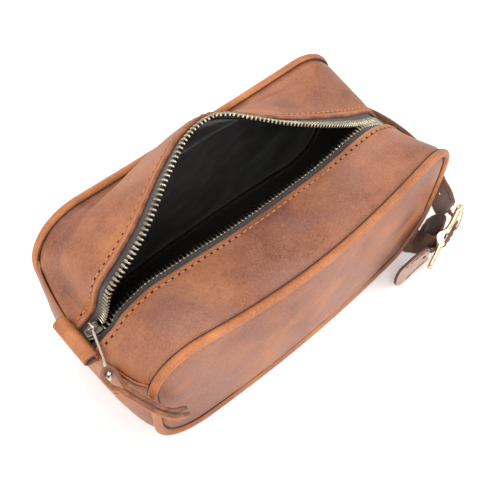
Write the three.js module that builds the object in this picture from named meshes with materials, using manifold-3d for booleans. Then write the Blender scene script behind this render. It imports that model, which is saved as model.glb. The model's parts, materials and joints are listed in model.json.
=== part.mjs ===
// Leather hanging toiletry bag, built as it is cut and sewn: two rounded-rectangle panels, a gusset,
// corded piping in both seams, a zipped top made of two strips, a lining, a rolled end tab,
// a zip slider with its pull, and an end handle closed by a pin buckle.
// Millimetres. X runs along the bag (left end -X: slider and tab, right end +X: handle),
// -Y is the front panel, +Z is up. Origin: centre of the footprint, on the floor plane.
// The mouth is modelled open, the way the bag stands with its zip undone.
import * as THREE from 'three';
import Module from 'manifold-3d';
import { mergeVertices } from 'three/addons/utils/BufferGeometryUtils.js';

const { clamp, smoothstep, degToRad: radians } = THREE.MathUtils;
const vec = (x, y, z) => new THREE.Vector3(x, y, z);

// ---------------------------------------------------------------- driving dimensions
const LENGTH = 240;        // between the end seams
const DEPTH = 108;         // between the front and back seams
const HEIGHT = 111.5;      // between the bottom and top seam centres
const CORNER_R = 34.8;     // panel corner radius
const BEAD_R = 2.6;        // piping bead radius, also the height of the bottom seam above the floor
const FRONT_BOW = 7.6;     // front top seam bows out at mid length
const FRONT_SAG = 14.6;    // and sags
const BACK_BOW = 1.5;      // the same for the back top seam
const BACK_SAG = 4.0;
const LOW_BOW = 6.0;       // both bottom seams bow out
const SKIN = 1.8;          // leather thickness
const SEAM_GAP = 3.3;      // leather edge to seam centre
const LINING_T = 0.8;      // lining thickness
const LINING_OFFSET = SKIN / 2 + 0.5 + LINING_T / 2;   // leather middle to lining middle, 0.5 gap
const SEAM_Z = 88.0;       // end seams between the gusset and the zipped top
const END_BULGE = 8.0;     // the left end face swells

// at each end: x of the zip there, how far the end seam dips towards the zip,
// and how late the zip line turns down to it (exponent)
const LEFT_END = { sign: -1, reach: LENGTH / 2 + END_BULGE, drop: 7.5, turn: 8 };
const RIGHT_END = { sign: 1, reach: 118.0, drop: 10.0, turn: 2.5 };

// centres of the corner arcs, and the top seam before it sags
const ARC_X = LENGTH / 2 - CORNER_R;
const TOP_Z = BEAD_R + HEIGHT;
const HIGH_ARC_Z = TOP_Z - CORNER_R;
const LOW_ARC_Z = BEAD_R + CORNER_R;

const SIDES = [['front', -1], ['back', 1]];   // name, sign of y

// ---------------------------------------------------------------- vectors and frames
const shifted = (point, direction, distance) => point.clone().addScaledVector(direction, distance);

// unit vector of the part of a direction square to a unit axis
const squareTo = (direction, axis) => shifted(direction, axis, -direction.dot(axis)).normalize();

function frameAt(origin, xAxis, zAxis) {
  const yAxis = zAxis.clone().cross(xAxis).normalize();
  return new THREE.Matrix4().makeBasis(xAxis, yAxis, zAxis).setPosition(origin);
}

const box = (sizeX, sizeY, sizeZ, x = 0, y = 0, z = 0) =>
  new THREE.BoxGeometry(sizeX, sizeY, sizeZ).translate(x, y, z);

function rod(from, to, radius, segments) {
  const span = to.clone().sub(from);
  const middle = from.clone().add(to).multiplyScalar(0.5);
  const turn = new THREE.Quaternion().setFromUnitVectors(vec(0, 1, 0), span.clone().normalize());
  return new THREE.CylinderGeometry(radius, radius, span.length(), segments)
    .applyQuaternion(turn)
    .translate(middle.x, middle.y, middle.z);
}

// ---------------------------------------------------------------- mesh builders
function signedVolume(positions, indices) {
  let total = 0;
  for (let i = 0; i < indices.length; i += 3) {
    const [a, b, c] = indices.slice(i, i + 3).map((k) => vec(...positions.slice(3 * k, 3 * k + 3)));
    total += a.dot(b.cross(c)) / 6;
  }
  return total;
}

// indexed geometry, turned outside out if its faces wind the wrong way
function solid(positions, indices) {
  if (signedVolume(positions, indices) < 0) {
    for (let i = 0; i < indices.length; i += 3) {
      [indices[i + 1], indices[i + 2]] = [indices[i + 2], indices[i + 1]];
    }
  }
  const geometry = new THREE.BufferGeometry();
  geometry.setAttribute('position', new THREE.Float32BufferAttribute(positions, 3));
  geometry.setIndex(indices);
  return geometry;
}

// closed thin sheet from a surface function of (u, v), its middle moved by offset along the normal
function sheet(surface, us, vs, thickness, offset = 0) {
  const rows = us.length;
  const cols = vs.length;
  const step = 1e-3;
  const normalAt = (u, v) => {
    const u0 = clamp(u - step, us[0], us[rows - 1]);
    const u1 = clamp(u + step, us[0], us[rows - 1]);
    const v0 = clamp(v - step, vs[0], vs[cols - 1]);
    const v1 = clamp(v + step, vs[0], vs[cols - 1]);
    const alongU = surface(u1, v).sub(surface(u0, v));
    return alongU.cross(surface(u, v1).sub(surface(u, v0))).normalize();
  };
  const positions = [];
  for (const face of [1, -1]) {
    for (const u of us) {
      for (const v of vs) {
        const distance = offset + face * thickness / 2;
        positions.push(...shifted(surface(u, v), normalAt(u, v), distance));
      }
    }
  }
  const indices = [];
  const id = (face, i, j) => face * rows * cols + i * cols + j;
  const quad = (a, b, c, d) => indices.push(a, b, c, a, c, d);
  for (let i = 0; i < rows - 1; i++) {
    for (let j = 0; j < cols - 1; j++) {
      quad(id(0, i, j), id(0, i + 1, j), id(0, i + 1, j + 1), id(0, i, j + 1));
      indices.push(id(1, i, j), id(1, i + 1, j + 1), id(1, i + 1, j));
      indices.push(id(1, i, j), id(1, i, j + 1), id(1, i + 1, j + 1));
    }
  }
  const endU = rows - 1;
  const endV = cols - 1;
  for (let i = 0; i < endU; i++) {
    quad(id(0, i, 0), id(1, i, 0), id(1, i + 1, 0), id(0, i + 1, 0));
    quad(id(0, i + 1, endV), id(1, i + 1, endV), id(1, i, endV), id(0, i, endV));
  }
  for (let j = 0; j < endV; j++) {
    quad(id(0, 0, j + 1), id(1, 0, j + 1), id(1, 0, j), id(0, 0, j));
    quad(id(0, endU, j), id(1, endU, j), id(1, endU, j + 1), id(0, endU, j + 1));
  }
  return solid(positions, indices);
}

// section points in their own plane, keeping their turning sense
function flattened(section) {
  const normal = vec(0, 0, 0);
  section.forEach((p, i) => normal.add(p.clone().cross(section[(i + 1) % section.length])));
  normal.normalize();
  const xAxis = section[1].clone().sub(section[0]).normalize();
  const yAxis = normal.clone().cross(xAxis);
  return section.map((p) => new THREE.Vector2(p.dot(xAxis), p.dot(yAxis)));
}

// closed ring or capped bar swept through sections, each an array of points
function sweep(sections, closed) {
  const count = sections.length;
  const size = sections[0].length;
  const positions = sections.flat().flatMap((p) => [p.x, p.y, p.z]);
  const indices = [];
  for (let i = 0; i < (closed ? count : count - 1); i++) {
    const here = i * size;
    const next = ((i + 1) % count) * size;
    for (let j = 0; j < size; j++) {
      const k = (j + 1) % size;
      indices.push(here + j, here + k, next + k, here + j, next + k, next + j);
    }
  }
  if (!closed) {
    const cap = (section) => THREE.ShapeUtils.triangulateShape(flattened(section), []);
    const last = (count - 1) * size;
    for (const [a, b, c] of cap(sections[0])) indices.push(a, c, b);
    for (const [a, b, c] of cap(sections[count - 1])) indices.push(last + a, last + b, last + c);
  }
  return solid(positions, indices);
}

// flat strap through stations of {centre, across, normal, halfWidth, halfThick}
function strap(stations) {
  const corners = [[-1, -1], [1, -1], [1, 1], [-1, 1]];
  return sweep(stations.map(({ centre, across, normal, halfWidth, halfThick }) =>
    corners.map(([side, face]) =>
      shifted(centre, across, side * halfWidth).addScaledVector(normal, face * halfThick))), false);
}

const smoothCurve = (points) => new THREE.CatmullRomCurve3(points, false, 'centripetal');

// strap stations along a smooth centre line through [point, width direction] pairs
function strapLine(path, halfWidth, halfThick, steps) {
  const centres = smoothCurve(path.map(([point]) => point));
  const widths = smoothCurve(path.map(([, width]) => width.clone().normalize().multiplyScalar(100)));
  const stations = [];
  for (let i = 0; i <= steps; i++) {
    const tangent = centres.getTangent(i / steps);
    const across = squareTo(widths.getPoint(i / steps), tangent);
    const normal = tangent.clone().cross(across).normalize();
    stations.push({ centre: centres.getPoint(i / steps), across, normal, halfWidth, halfThick });
  }
  return stations;
}

// strap stations between two edges, given as pairs of points
function ribbonLine(pairs, halfThick, steps) {
  const edges = [0, 1].map((k) => smoothCurve(pairs.map((pair) => pair[k])));
  const middle = (t) => edges[0].getPoint(t).add(edges[1].getPoint(t)).multiplyScalar(0.5);
  const reach = 2e-3;   // half the curve step the tangent is taken over
  const stations = [];
  for (let i = 0; i <= steps; i++) {
    const t = i / steps;
    const width = edges[1].getPoint(t).sub(edges[0].getPoint(t));
    const across = width.clone().normalize();
    const tangent = middle(Math.min(t + reach, 1)).sub(middle(Math.max(t - reach, 0)));
    const normal = tangent.cross(across).normalize();
    stations.push({ centre: middle(t), across, normal, halfWidth: width.length() / 2, halfThick });
  }
  return stations;
}

// ---------------------------------------------------------------- booleans
const wasm = await Module();
wasm.setup();

function toManifold(geometry) {
  geometry.deleteAttribute('normal');
  geometry.deleteAttribute('uv');
  const merged = mergeVertices(geometry, 1e-4);
  return new wasm.Manifold(new wasm.Mesh({
    numProp: 3,
    vertProperties: new Float32Array(merged.attributes.position.array),
    triVerts: new Uint32Array(merged.index.array),
  }));
}

function toGeometry(manifold) {
  const mesh = manifold.getMesh();
  const geometry = new THREE.BufferGeometry();
  geometry.setAttribute('position', new THREE.Float32BufferAttribute(mesh.vertProperties, 3));
  geometry.setIndex(Array.from(mesh.triVerts));
  return geometry;
}

const cut = (body, tool) => toGeometry(toManifold(body).subtract(toManifold(tool)));
const join = (...parts) => toGeometry(parts.map(toManifold).reduce((sum, part) => sum.add(part)));

// ---------------------------------------------------------------- seams
// seam centre for an outline point (x, z)
function seam(side, x, z) {
  const middle = Math.max(0, Math.cos(Math.PI * x / LENGTH));
  const height = clamp((z - BEAD_R) / HEIGHT, 0, 1);
  const [bow, sag] = side < 0 ? [FRONT_BOW, FRONT_SAG] : [BACK_BOW, BACK_SAG];
  const out = DEPTH / 2 + middle * (bow * height + LOW_BOW * (1 - height));
  return vec(x, side * out, z - sag * middle * height);
}

// outline points are [x, z, angle of the outward normal]
function cornerArc(sign, centreZ, from, to, steps) {
  return Array.from({ length: steps + 1 }, (_, i) => {
    const angle = from + (to - from) * i / steps;
    return [sign * ARC_X + CORNER_R * Math.cos(angle), centreZ + CORNER_R * Math.sin(angle), angle];
  });
}

// points between the two ends of a straight run, without the ends
function straightRun(x0, z0, x1, z1, steps, angle) {
  return Array.from({ length: steps - 1 }, (_, i) => {
    const t = (i + 1) / steps;
    return [x0 + (x1 - x0) * t, z0 + (z1 - z0) * t, angle];
  });
}

// from the top right corner arc (entered at topAngle) down, under the bag and up the left end
function lowerOutline(topAngle, topSteps, cornerSteps, bottomSteps) {
  const half = LENGTH / 2;
  return [
    ...cornerArc(1, HIGH_ARC_Z, topAngle, 0, topSteps),
    ...straightRun(half, HIGH_ARC_Z, half, LOW_ARC_Z, 3, 0),
    ...cornerArc(1, LOW_ARC_Z, 0, -Math.PI / 2, cornerSteps),
    ...straightRun(ARC_X, BEAD_R, -ARC_X, BEAD_R, bottomSteps, -Math.PI / 2),
    ...cornerArc(-1, LOW_ARC_Z, -Math.PI / 2, -Math.PI, cornerSteps),
    ...straightRun(-half, LOW_ARC_Z, -half, HIGH_ARC_Z, 3, -Math.PI),
    ...cornerArc(-1, HIGH_ARC_Z, -Math.PI, -Math.PI - topAngle, topSteps),
  ];
}

// ---------------------------------------------------------------- panels and their lining
const PANEL_CROWN = 3.0;          // front and back panels swell
const PANEL_LINING_INSET = 7.0;   // lining edge to seam centre
const PANEL_LINING_EASE = 0.4;    // extra gap behind the panel
const PANEL_U = [-1, -0.8, -0.55, -0.28, 0, 0.28, 0.55, 0.8, 1];
const PANEL_V = [-1, -0.97, -0.88, -0.72, -0.5, -0.2, 0.2, 0.5, 0.72, 0.88, 0.97, 1];
const PANEL_LINING_U = [-1, -0.6, -0.2, 0.2, 0.6, 1];
const PANEL_LINING_V = [-1, -0.93, -0.75, -0.4, 0, 0.4, 0.75, 0.93, 1];

// u runs across the width at each height, v up the height, both -1 to 1
function panelSurface(side, inset, outward) {
  const halfLength = LENGTH / 2 - inset;
  const halfHeight = HEIGHT / 2 - inset;
  const radius = CORNER_R - inset;
  return (u, v) => {
    const rise = v * halfHeight;
    const intoCorner = Math.abs(rise) - (halfHeight - radius);
    const halfWidth = intoCorner > 0
      ? halfLength - radius + Math.sqrt(Math.max(radius * radius - intoCorner * intoCorner, 0))
      : halfLength;
    const x = u * halfWidth;
    const point = seam(side, x, BEAD_R + HEIGHT / 2 + rise);
    const crown = PANEL_CROWN * (1 - (x / halfLength) ** 2) * (1 - v * v);
    point.y += side * (crown + outward);
    return point;
  };
}

const panel = (side) => sheet(panelSurface(side, SEAM_GAP, 0), PANEL_U, PANEL_V, SKIN);

function panelLining(side) {
  const surface = panelSurface(side, PANEL_LINING_INSET, -LINING_OFFSET - PANEL_LINING_EASE);
  return sheet(surface, PANEL_LINING_U, PANEL_LINING_V, LINING_T);
}

// ---------------------------------------------------------------- piping
const WRAP_INNER_R = 1.55;
const CORD_R = 1.15;
const WRAP_OUTER_ANGLES = [-152, -100, -50, 0, 50, 100, 152];
const WRAP_INNER_ANGLES = [150, 90, 30, -30, -90, -150];
const CORD_ANGLES = [0, 72, 144, 216, 288];

// frames round a seam; "out" points half way between out of the panel and away from its centre,
// so that the open side of the wrap faces half way between panel and gusset
function seamFrames(side) {
  const outline = [
    ...lowerOutline(Math.PI / 2, 5, 5, 7),
    ...straightRun(-ARC_X, TOP_Z, ARC_X, TOP_Z, 7, Math.PI / 2),
  ];
  const centres = outline.map(([x, z]) => seam(side, x, z));
  const count = centres.length;
  return centres.map((centre, i) => {
    const before = centres[(i - 1 + count) % count];
    const tangent = centres[(i + 1) % count].clone().sub(before).normalize();
    const outOfBag = squareTo(vec(0, side, 0), tangent);
    const fromCentre = outOfBag.clone().cross(tangent).multiplyScalar(-side).normalize();
    return {
      centre,
      out: outOfBag.clone().add(fromCentre).normalize(),
      turn: outOfBag.clone().sub(fromCentre).normalize(),
    };
  });
}

const arcSection = ({ centre, out, turn }, radius, angles) => angles.map((angle) =>
  shifted(centre, turn, radius * Math.sin(radians(angle)))
    .addScaledVector(out, radius * Math.cos(radians(angle))));

// leather folded round the cord
const piping = (side) => sweep(seamFrames(side).map((frame) => [
  ...arcSection(frame, BEAD_R, WRAP_OUTER_ANGLES),
  ...arcSection(frame, WRAP_INNER_R, WRAP_INNER_ANGLES),
]), true);

const pipingCord = (side) =>
  sweep(seamFrames(side).map((frame) => arcSection(frame, CORD_R, CORD_ANGLES)), true);

// ---------------------------------------------------------------- gusset: right end, bottom, left end
const GUSSET_TOP_Z = SEAM_Z - 0.6;
const GUSSET_OUTLINE = lowerOutline(Math.asin((GUSSET_TOP_Z - HIGH_ARC_Z) / CORNER_R), 2, 6, 6);
const GUSSET_U = GUSSET_OUTLINE.map((_, i) => i);
const GUSSET_V = [-1, -0.92, -0.84, -0.45, 0, 0.45, 0.84, 0.92, 1];
const EDGE_STEP = 0.16;           // share of v over which the gusset steps out to the bead
const SWELL_Z = 6;                // the end faces swell from here
const SWELL_RISE = 50;            // and reach full swell this much higher
const DROP_Z = 45;                // the dip of the end seams starts here
const RIGHT_FOLD = 1.25;          // share of the right end's swell lost
const RIGHT_FOLD_Z = 52;          // between here and the end seam
const GUSSET_LINING = {
  inset: 2.6,                     // from the gusset edges, in y
  span: 0.985,                    // share of v covered
  ease: 0.5,                      // extra gap under the leather
  edgeDepth: 2.2,                 // added towards the edges, clear of the piping
  v: [-1, -0.6, 0, 0.6, 1],
};

// outline [x, z, angle] at a fractional point number
function gussetStation(u) {
  const i = clamp(Math.floor(u), 0, GUSSET_OUTLINE.length - 2);
  return GUSSET_OUTLINE[i].map((a, k) => a + (GUSSET_OUTLINE[i + 1][k] - a) * (u - i));
}

// u is the outline point number, v runs from the front seam (-1) to the back seam (1)
function gussetPoint(u, v, inset) {
  const [x, z, angle] = gussetStation(u);
  const front = seam(-1, x, z);
  const back = seam(1, x, z);
  front.y += SEAM_GAP + inset;
  back.y -= SEAM_GAP + inset;
  const arch = 1 - v * v;
  const fold = x > 0 ? 1 - RIGHT_FOLD * smoothstep(z, RIGHT_FOLD_Z, SEAM_Z) : 1;
  const rise = Math.sin(Math.PI / 2 * clamp((z - SWELL_Z) / SWELL_RISE, 0, 1));
  const swell = END_BULGE * fold * arch * Math.abs(Math.cos(angle)) * rise;
  const end = x > 0 ? RIGHT_END : LEFT_END;
  const point = front.lerp(back, (v + 1) / 2);
  point.z -= end.drop * arch * smoothstep(z, DROP_Z, SEAM_Z);
  const stepOut = (BEAD_R - SKIN / 2) * smoothstep(1 - Math.abs(v), 0, EDGE_STEP);
  point.addScaledVector(vec(Math.cos(angle), 0, Math.sin(angle)), stepOut);
  point.x += Math.sign(x) * swell;
  return point;
}

const gusset = () => sheet((u, v) => gussetPoint(u, v, 0), GUSSET_U, GUSSET_V, SKIN);

function gussetLining() {
  const { inset, span, ease, edgeDepth } = GUSSET_LINING;
  return sheet((u, v) => {
    const angle = gussetStation(u)[2];
    const depth = LINING_OFFSET + ease + edgeDepth * smoothstep(Math.abs(v), 0.5, 1);
    const outward = vec(Math.cos(angle), 0, Math.sin(angle));
    return gussetPoint(u, v * span, inset).addScaledVector(outward, -depth);
  }, GUSSET_U, GUSSET_LINING.v, LINING_T);
}

// ---------------------------------------------------------------- zipped top
// q runs from the left end seam (0) over the top to the right end seam (1)
const ZIP_Y = -5.0;                       // zip line, a little forward of centre
const ZIP_LEFT = vec(-115, ZIP_Y, 88.0);  // two points of the zip line
const ZIP_RIGHT = vec(92, ZIP_Y, 99.5);
const LEATHER_TO_TEETH = 8.5;
const STITCH_LINE = 15;                   // inner edge of tape and lining, to the teeth line
const TAPE_T = 0.8;
const TAPE_TO_TEETH = 0.7;
const TAPE_CUT_BACK = 1.6;                // tape edge drawn back at the left end
const TEETH_W = 3.0;
const TEETH_T = 2.6;
const TEETH_EDGE = 0.35;                  // teeth to the zip line
const STOP_EDGE = 0.45;                   // stops to the zip line
const STOP_EXTRA_T = 0.4;
const UNDER_LEATHER = SKIN / 2 + TAPE_T / 2 + 0.5;   // strip middle to tape middle
const STRIP_BELLY = 2.2;                  // strips are soft and swell a little
const BELLY_REACH = 130;                  // x at which the swelling ends
const HINGE_SHARE = 0.3;                  // share of the strip width that bends as it opens

// opening angle of the strips along the bag: [x, degrees]
const BACK_OPEN = [
  [-128, 0], [-116.4, 0], [-114.6, 12], [-111.4, 24], [-106.8, 28], [-98.4, 32.5], [-89.9, 37],
  [-80.7, 42.6], [-70, 50], [-58.4, 58], [-47.3, 64], [-36, 69.4], [-27, 71.6], [-19, 72],
  [-11, 71], [-2, 66.3], [6, 60], [14, 54], [24, 46.5], [36, 38.5], [50, 29.5], [64, 20.5],
  [76, 12.5], [86, 5.5], [92, 2], [98, 0], [121, 0],
];
const FRONT_OPEN = [
  [-128, 0], [-113, 0.6], [-108.5, 4], [-104.5, 6], [-100, 7.3], [-93, 9.2], [-86, 10.8],
  [-79, 10.3], [-66, 8.4], [-52, 7], [-37, 4.6], [-22, 2.8], [-5, 1.4], [18, 0.6], [44, 0.2],
  [60, 2], [70, 4], [79, 4.2], [86, 4], [94, 1.5], [99, 0], [121, 0],
];
// y, z of the lines the strips turn about
const BACK_HINGE = [54.5, 108.5];
const FRONT_HINGE = [-59.0, 104.0];

const STRIP_END_Z = SEAM_Z + 0.9;
const STRIP_END_ANGLE = Math.asin((STRIP_END_Z - HIGH_ARC_Z) / CORNER_R);
const ARC_LEN = CORNER_R * (Math.PI / 2 - STRIP_END_ANGLE);
const TOP_LEN = 2 * ARC_X;
const PATH_LEN = 2 * ARC_LEN + TOP_LEN;

const STRIP_Q = [
  0, 0.03, 0.065, 0.1, 0.14, 0.18, 0.23, 0.29, 0.35, 0.4, 0.44, 0.49,
  0.55, 0.61, 0.67, 0.73, 0.79, 0.84, 0.89, 0.93, 0.97, 1,
];
const UNDER_Q = [0.02, ...STRIP_Q.slice(1, -1), 0.98];   // layers under the leather stop short
const TEETH_Q = [0.057, ...STRIP_Q.filter((q) => q > 0.06 && q < 0.96)];
const STOP_Q = [0.9635, 0.97, 0.976];

const endAt = (q) => (q > 0.5 ? RIGHT_END : LEFT_END);

// linear interpolation in a table of [x, value]
function lookUp(table, x) {
  const next = table.findIndex(([tableX]) => x <= tableX);
  if (next === 0) return table[0][1];
  if (next < 0) return table[table.length - 1][1];
  const [x0, value0] = table[next - 1];
  const [x1, value1] = table[next];
  return value0 + (value1 - value0) * (x - x0) / (x1 - x0);
}

// point of the front or back seam that the strip is sewn to
function stripRoot(side, q) {
  const along = q * PATH_LEN;
  const pastTop = along - ARC_LEN - TOP_LEN;
  const onArc = (sign, angle) =>
    seam(side, sign * ARC_X + CORNER_R * Math.cos(angle), HIGH_ARC_Z + CORNER_R * Math.sin(angle));
  if (along < ARC_LEN) return onArc(-1, Math.PI - STRIP_END_ANGLE - along / CORNER_R);
  if (pastTop > 0) return onArc(1, Math.PI / 2 - pastTop / CORNER_R);
  return seam(side, along - ARC_LEN - ARC_X, TOP_Z);
}

// closed zip line: straight, turning down to the end seams beyond the corner arcs' centres
function zipLine(q) {
  const along = q * PATH_LEN;
  const pastTop = along - ARC_LEN - TOP_LEN;
  const end = endAt(q);
  const endLen = end.reach - ARC_X;
  let x = along - ARC_LEN - ARC_X;
  if (along < ARC_LEN) x = -end.reach + endLen * along / ARC_LEN;
  if (pastTop > 0) x = ARC_X + endLen * pastTop / ARC_LEN;
  const slope = (ZIP_RIGHT.z - ZIP_LEFT.z) / (ZIP_RIGHT.x - ZIP_LEFT.x);
  const z = ZIP_LEFT.z + (x - ZIP_LEFT.x) * slope;
  const beyond = Math.max(0, (Math.abs(x) - ARC_X) / endLen);
  return vec(x, ZIP_Y, z - (z - (STRIP_END_Z - end.drop)) * beyond ** end.turn);
}

// point of the open top; share is the part of the strip width from the seam to the zip line
function topPoint(side, q, share) {
  const root = stripRoot(side, q);
  root.y -= side * SEAM_GAP;
  const point = root.lerp(zipLine(q), share);
  // the end of the strip follows the arched end seam instead of a straight line
  const end = endAt(q);
  const zipShare = 1 - Math.abs(ZIP_Y) / (DEPTH / 2);
  const arch = 1 - (1 - share * zipShare) ** 2 - share * (1 - (1 - zipShare) ** 2);
  const nearEnd = Math.max(0, 1 - Math.min(q, 1 - q) * PATH_LEN / ARC_LEN) ** 2;
  point.x += end.sign * (end.reach - LENGTH / 2) * arch * nearEnd;
  point.z -= end.drop * arch * nearEnd;
  const belly = STRIP_BELLY * Math.sin(Math.PI * clamp(share, 0, 1));
  point.z += belly * (1 - smoothstep(Math.abs(point.x), 0, BELLY_REACH));
  // swing open about the hinge line
  const [hingeY, hingeZ] = side > 0 ? BACK_HINGE : FRONT_HINGE;
  const opening = radians(lookUp(side > 0 ? BACK_OPEN : FRONT_OPEN, point.x));
  const angle = -side * opening * smoothstep(share, 0, HINGE_SHARE);
  const y = point.y - hingeY;
  const z = point.z - hingeZ;
  return vec(
    point.x,
    hingeY + y * Math.cos(angle) - z * Math.sin(angle),
    hingeZ + y * Math.sin(angle) + z * Math.cos(angle),
  );
}

// band of the top: knotsAt(q) gives [v, distance before the zip line] pairs, null being the seam
function band(side, knotsAt) {
  return (q, v) => {
    const knots = knotsAt(q);
    let i = 1;
    while (i < knots.length - 1 && v > knots[i][0]) i++;
    const [v0, distance0] = knots[i - 1];
    const [v1, distance1] = knots[i];
    const width = stripRoot(side, q).distanceTo(zipLine(q)) - SEAM_GAP;
    const shareAt = (distance) => (distance === null ? 0 : 1 - distance / width);
    const share0 = shareAt(distance0);
    const share = share0 + (shareAt(distance1) - share0) * (v - v0) / (v1 - v0);
    return topPoint(side, q, share);
  };
}

function topStrip(side) {
  const knots = [[0, null], [0.8, STITCH_LINE], [1, LEATHER_TO_TEETH]];
  return sheet(band(side, () => knots), STRIP_Q, [0, 0.2, 0.4, 0.6, 0.8, 1], SKIN);
}

function zipTape(side) {
  const edge = (q) => TEETH_W + TAPE_TO_TEETH + TAPE_CUT_BACK * (1 - smoothstep(q, 0.055, 0.085));
  const surface = band(side, (q) => [[0, STITCH_LINE], [0.5, LEATHER_TO_TEETH], [1, edge(q)]]);
  return sheet(surface, UNDER_Q, [0, 0.5, 1], TAPE_T, side * UNDER_LEATHER);
}

function zipTeeth(side) {
  const surface = band(side, () => [[0, TEETH_W], [1, TEETH_EDGE]]);
  return sheet(surface, TEETH_Q, [0, 1], TEETH_T, side * UNDER_LEATHER);
}

function topLining(side) {
  const surface = band(side, () => [[0, null], [0.8, STITCH_LINE]]);
  const offset = side * UNDER_LEATHER * 1.25;
  return sheet(surface, UNDER_Q, [0.08, 0.2, 0.4, 0.6, 0.76], LINING_T, offset);
}

function zipStop(side) {
  const surface = band(side, () => [[0, TEETH_W], [1, STOP_EDGE]]);
  return sheet(surface, STOP_Q, [0, 1], TEETH_T + STOP_EXTRA_T, side * UNDER_LEATHER);
}

// ---------------------------------------------------------------- zip slider
const SLIDER = { length: 11, width: 8.6, plate: 1.1, slot: 4.0 };
const PLATE_Z = SLIDER.slot / 2 + SLIDER.plate / 2;
const DIVIDER = { length: 2.4, width: 1.0, overlap: 0.4 };
// bridge the pull hangs on: two posts and a bar
const BRIDGE = { width: 1.8, postLength: 1.4, postHeight: 3.6, postX: 3.0, bar: 1.2, rise: 4.0 };
const ZIP_RUN = ZIP_RIGHT.clone().sub(ZIP_LEFT).normalize();
const SLIDER_UP = ZIP_RUN.clone().cross(vec(0, 1, 0)).normalize();
const SLIDER_FRAME = frameAt(vec(-121.4, ZIP_Y, 85.7), ZIP_RUN, SLIDER_UP);

function zipSlider() {
  const { length, width, plate, slot } = SLIDER;
  const { postLength, postHeight, postX } = BRIDGE;
  const dividerX = (length - DIVIDER.length) / 2;
  const post = (x) => box(postLength, BRIDGE.width, postHeight, x, 0, PLATE_Z + postHeight / 2);
  return join(
    box(length, width, plate, 0, 0, PLATE_Z),
    box(length, width, plate, 0, 0, -PLATE_Z),
    box(DIVIDER.length, DIVIDER.width, slot + DIVIDER.overlap, dividerX, 0, 0),
    post(-postX),
    post(postX),
    box(2 * postX + postLength, BRIDGE.width, BRIDGE.bar, 0, 0, PLATE_Z + BRIDGE.rise),
  ).applyMatrix4(SLIDER_FRAME);
}

// ---------------------------------------------------------------- slider pull
const EYE = { radius: 2.15, wire: 0.7, shift: 0.12 };
const SHANK_R = 0.95;
const CROSS_BAR = { radius: 1.5, half: 5.2 };
const PULL_W = 8;
const PULL_T = 2.2;
const PULL_GAP = 0.18;         // half the gap between the two layers
const FOLD_R = 3.05;           // layer middle round the cross bar
const BRIDGE_BAR = vec(0, 0, PLATE_Z + BRIDGE.rise).applyMatrix4(SLIDER_FRAME);
const FOLD = vec(-130.6, -32.4, 87.6);   // centre of the leather fold and the cross bar
const SHANK_DIR = FOLD.clone().sub(BRIDGE_BAR).normalize();
const FOLD_AXIS = squareTo(vec(0.05, 0.2, -0.98), SHANK_DIR);
// centre line of the leather beyond the fold
const PULL_PATH = [
  [-130.6, -37.4, 87.4], [-129.6, -43, 87.8], [-127.4, -51.6, 88.6],
  [-123.4, -60.6, 85.2], [-117.4, -64.6, 74.5], [-110, -65.2, 61.5],
];

// eye round the bridge bar, a straight shank and a cross bar for the leather
function pullBar() {
  const turn = new THREE.Quaternion().setFromUnitVectors(vec(0, 0, 1), ZIP_RUN);
  const centre = shifted(BRIDGE_BAR, squareTo(SHANK_DIR, ZIP_RUN), EYE.shift);
  const eye = new THREE.TorusGeometry(EYE.radius, EYE.wire, 6, 14)
    .applyQuaternion(turn)
    .translate(centre.x, centre.y, centre.z);
  const shankStart = shifted(centre, FOLD.clone().sub(centre).normalize(), EYE.radius);
  const { radius, half } = CROSS_BAR;
  const crossBar = rod(shifted(FOLD, FOLD_AXIS, -half), shifted(FOLD, FOLD_AXIS, half), radius, 12);
  return join(rod(shankStart, FOLD, SHANK_R, 10), eye, crossBar);
}

// leather folded round the cross bar, two layers closing up behind it
function pullLeather() {
  const halfWidth = PULL_W / 2;
  const halfThick = PULL_T / 2;
  const line = strapLine([
    [FOLD, FOLD_AXIS],
    ...PULL_PATH.map((point, i) => [vec(...point), vec(0.05 + 0.05 * i, 0.2 - 0.02 * i, -0.98)]),
  ], halfWidth, halfThick, 22);
  const away = squareTo(line[1].centre.clone().sub(line[0].centre), FOLD_AXIS);
  const sideways = away.clone().cross(FOLD_AXIS).normalize();

  const layerStart = FOLD_R * 1.5;
  const closingLength = FOLD_R * 2.2;
  const closed = halfThick + PULL_GAP;
  const kept = line.filter(({ centre }) => centre.distanceTo(FOLD) > layerStart);
  const layer = (face) => kept.map((station) => {
    const past = station.centre.distanceTo(FOLD) - layerStart;
    const open = 1 - smoothstep(past, 0, closingLength);
    const offset = closed + (FOLD_R * 0.93 - closed) * open;
    return {
      ...station,
      centre: shifted(station.centre, station.normal, face * offset),
      normal: station.normal.clone().multiplyScalar(face),
    };
  });

  const bend = [];
  const steps = 7;
  for (let i = 0; i <= steps; i++) {
    const angle = radians(-8 + 196 * i / steps);
    const normal = sideways.clone().multiplyScalar(Math.cos(angle))
      .addScaledVector(away, -Math.sin(angle));
    const centre = shifted(FOLD, normal, FOLD_R);
    bend.push({ centre, across: FOLD_AXIS, normal, halfWidth, halfThick });
  }
  const leather = strap([...layer(1).reverse(), ...bend, ...layer(-1)]);
  const shankHole = rod(shifted(FOLD, SHANK_DIR, -8), FOLD, 1.5, 10);
  return cut(leather, shankHole);
}

// ---------------------------------------------------------------- rolled end tab
const TAB = {
  length: 29, radius: 4.1, hole: 2.4,
  noseOut: 0.3, noseHalf: 0.9,   // flat nose beyond the radius, and half its width
  gap: 0.2,                      // to the swollen end
  y: -3.5,
  rise: 6.0,                     // above the dipped end seam
};

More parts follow.
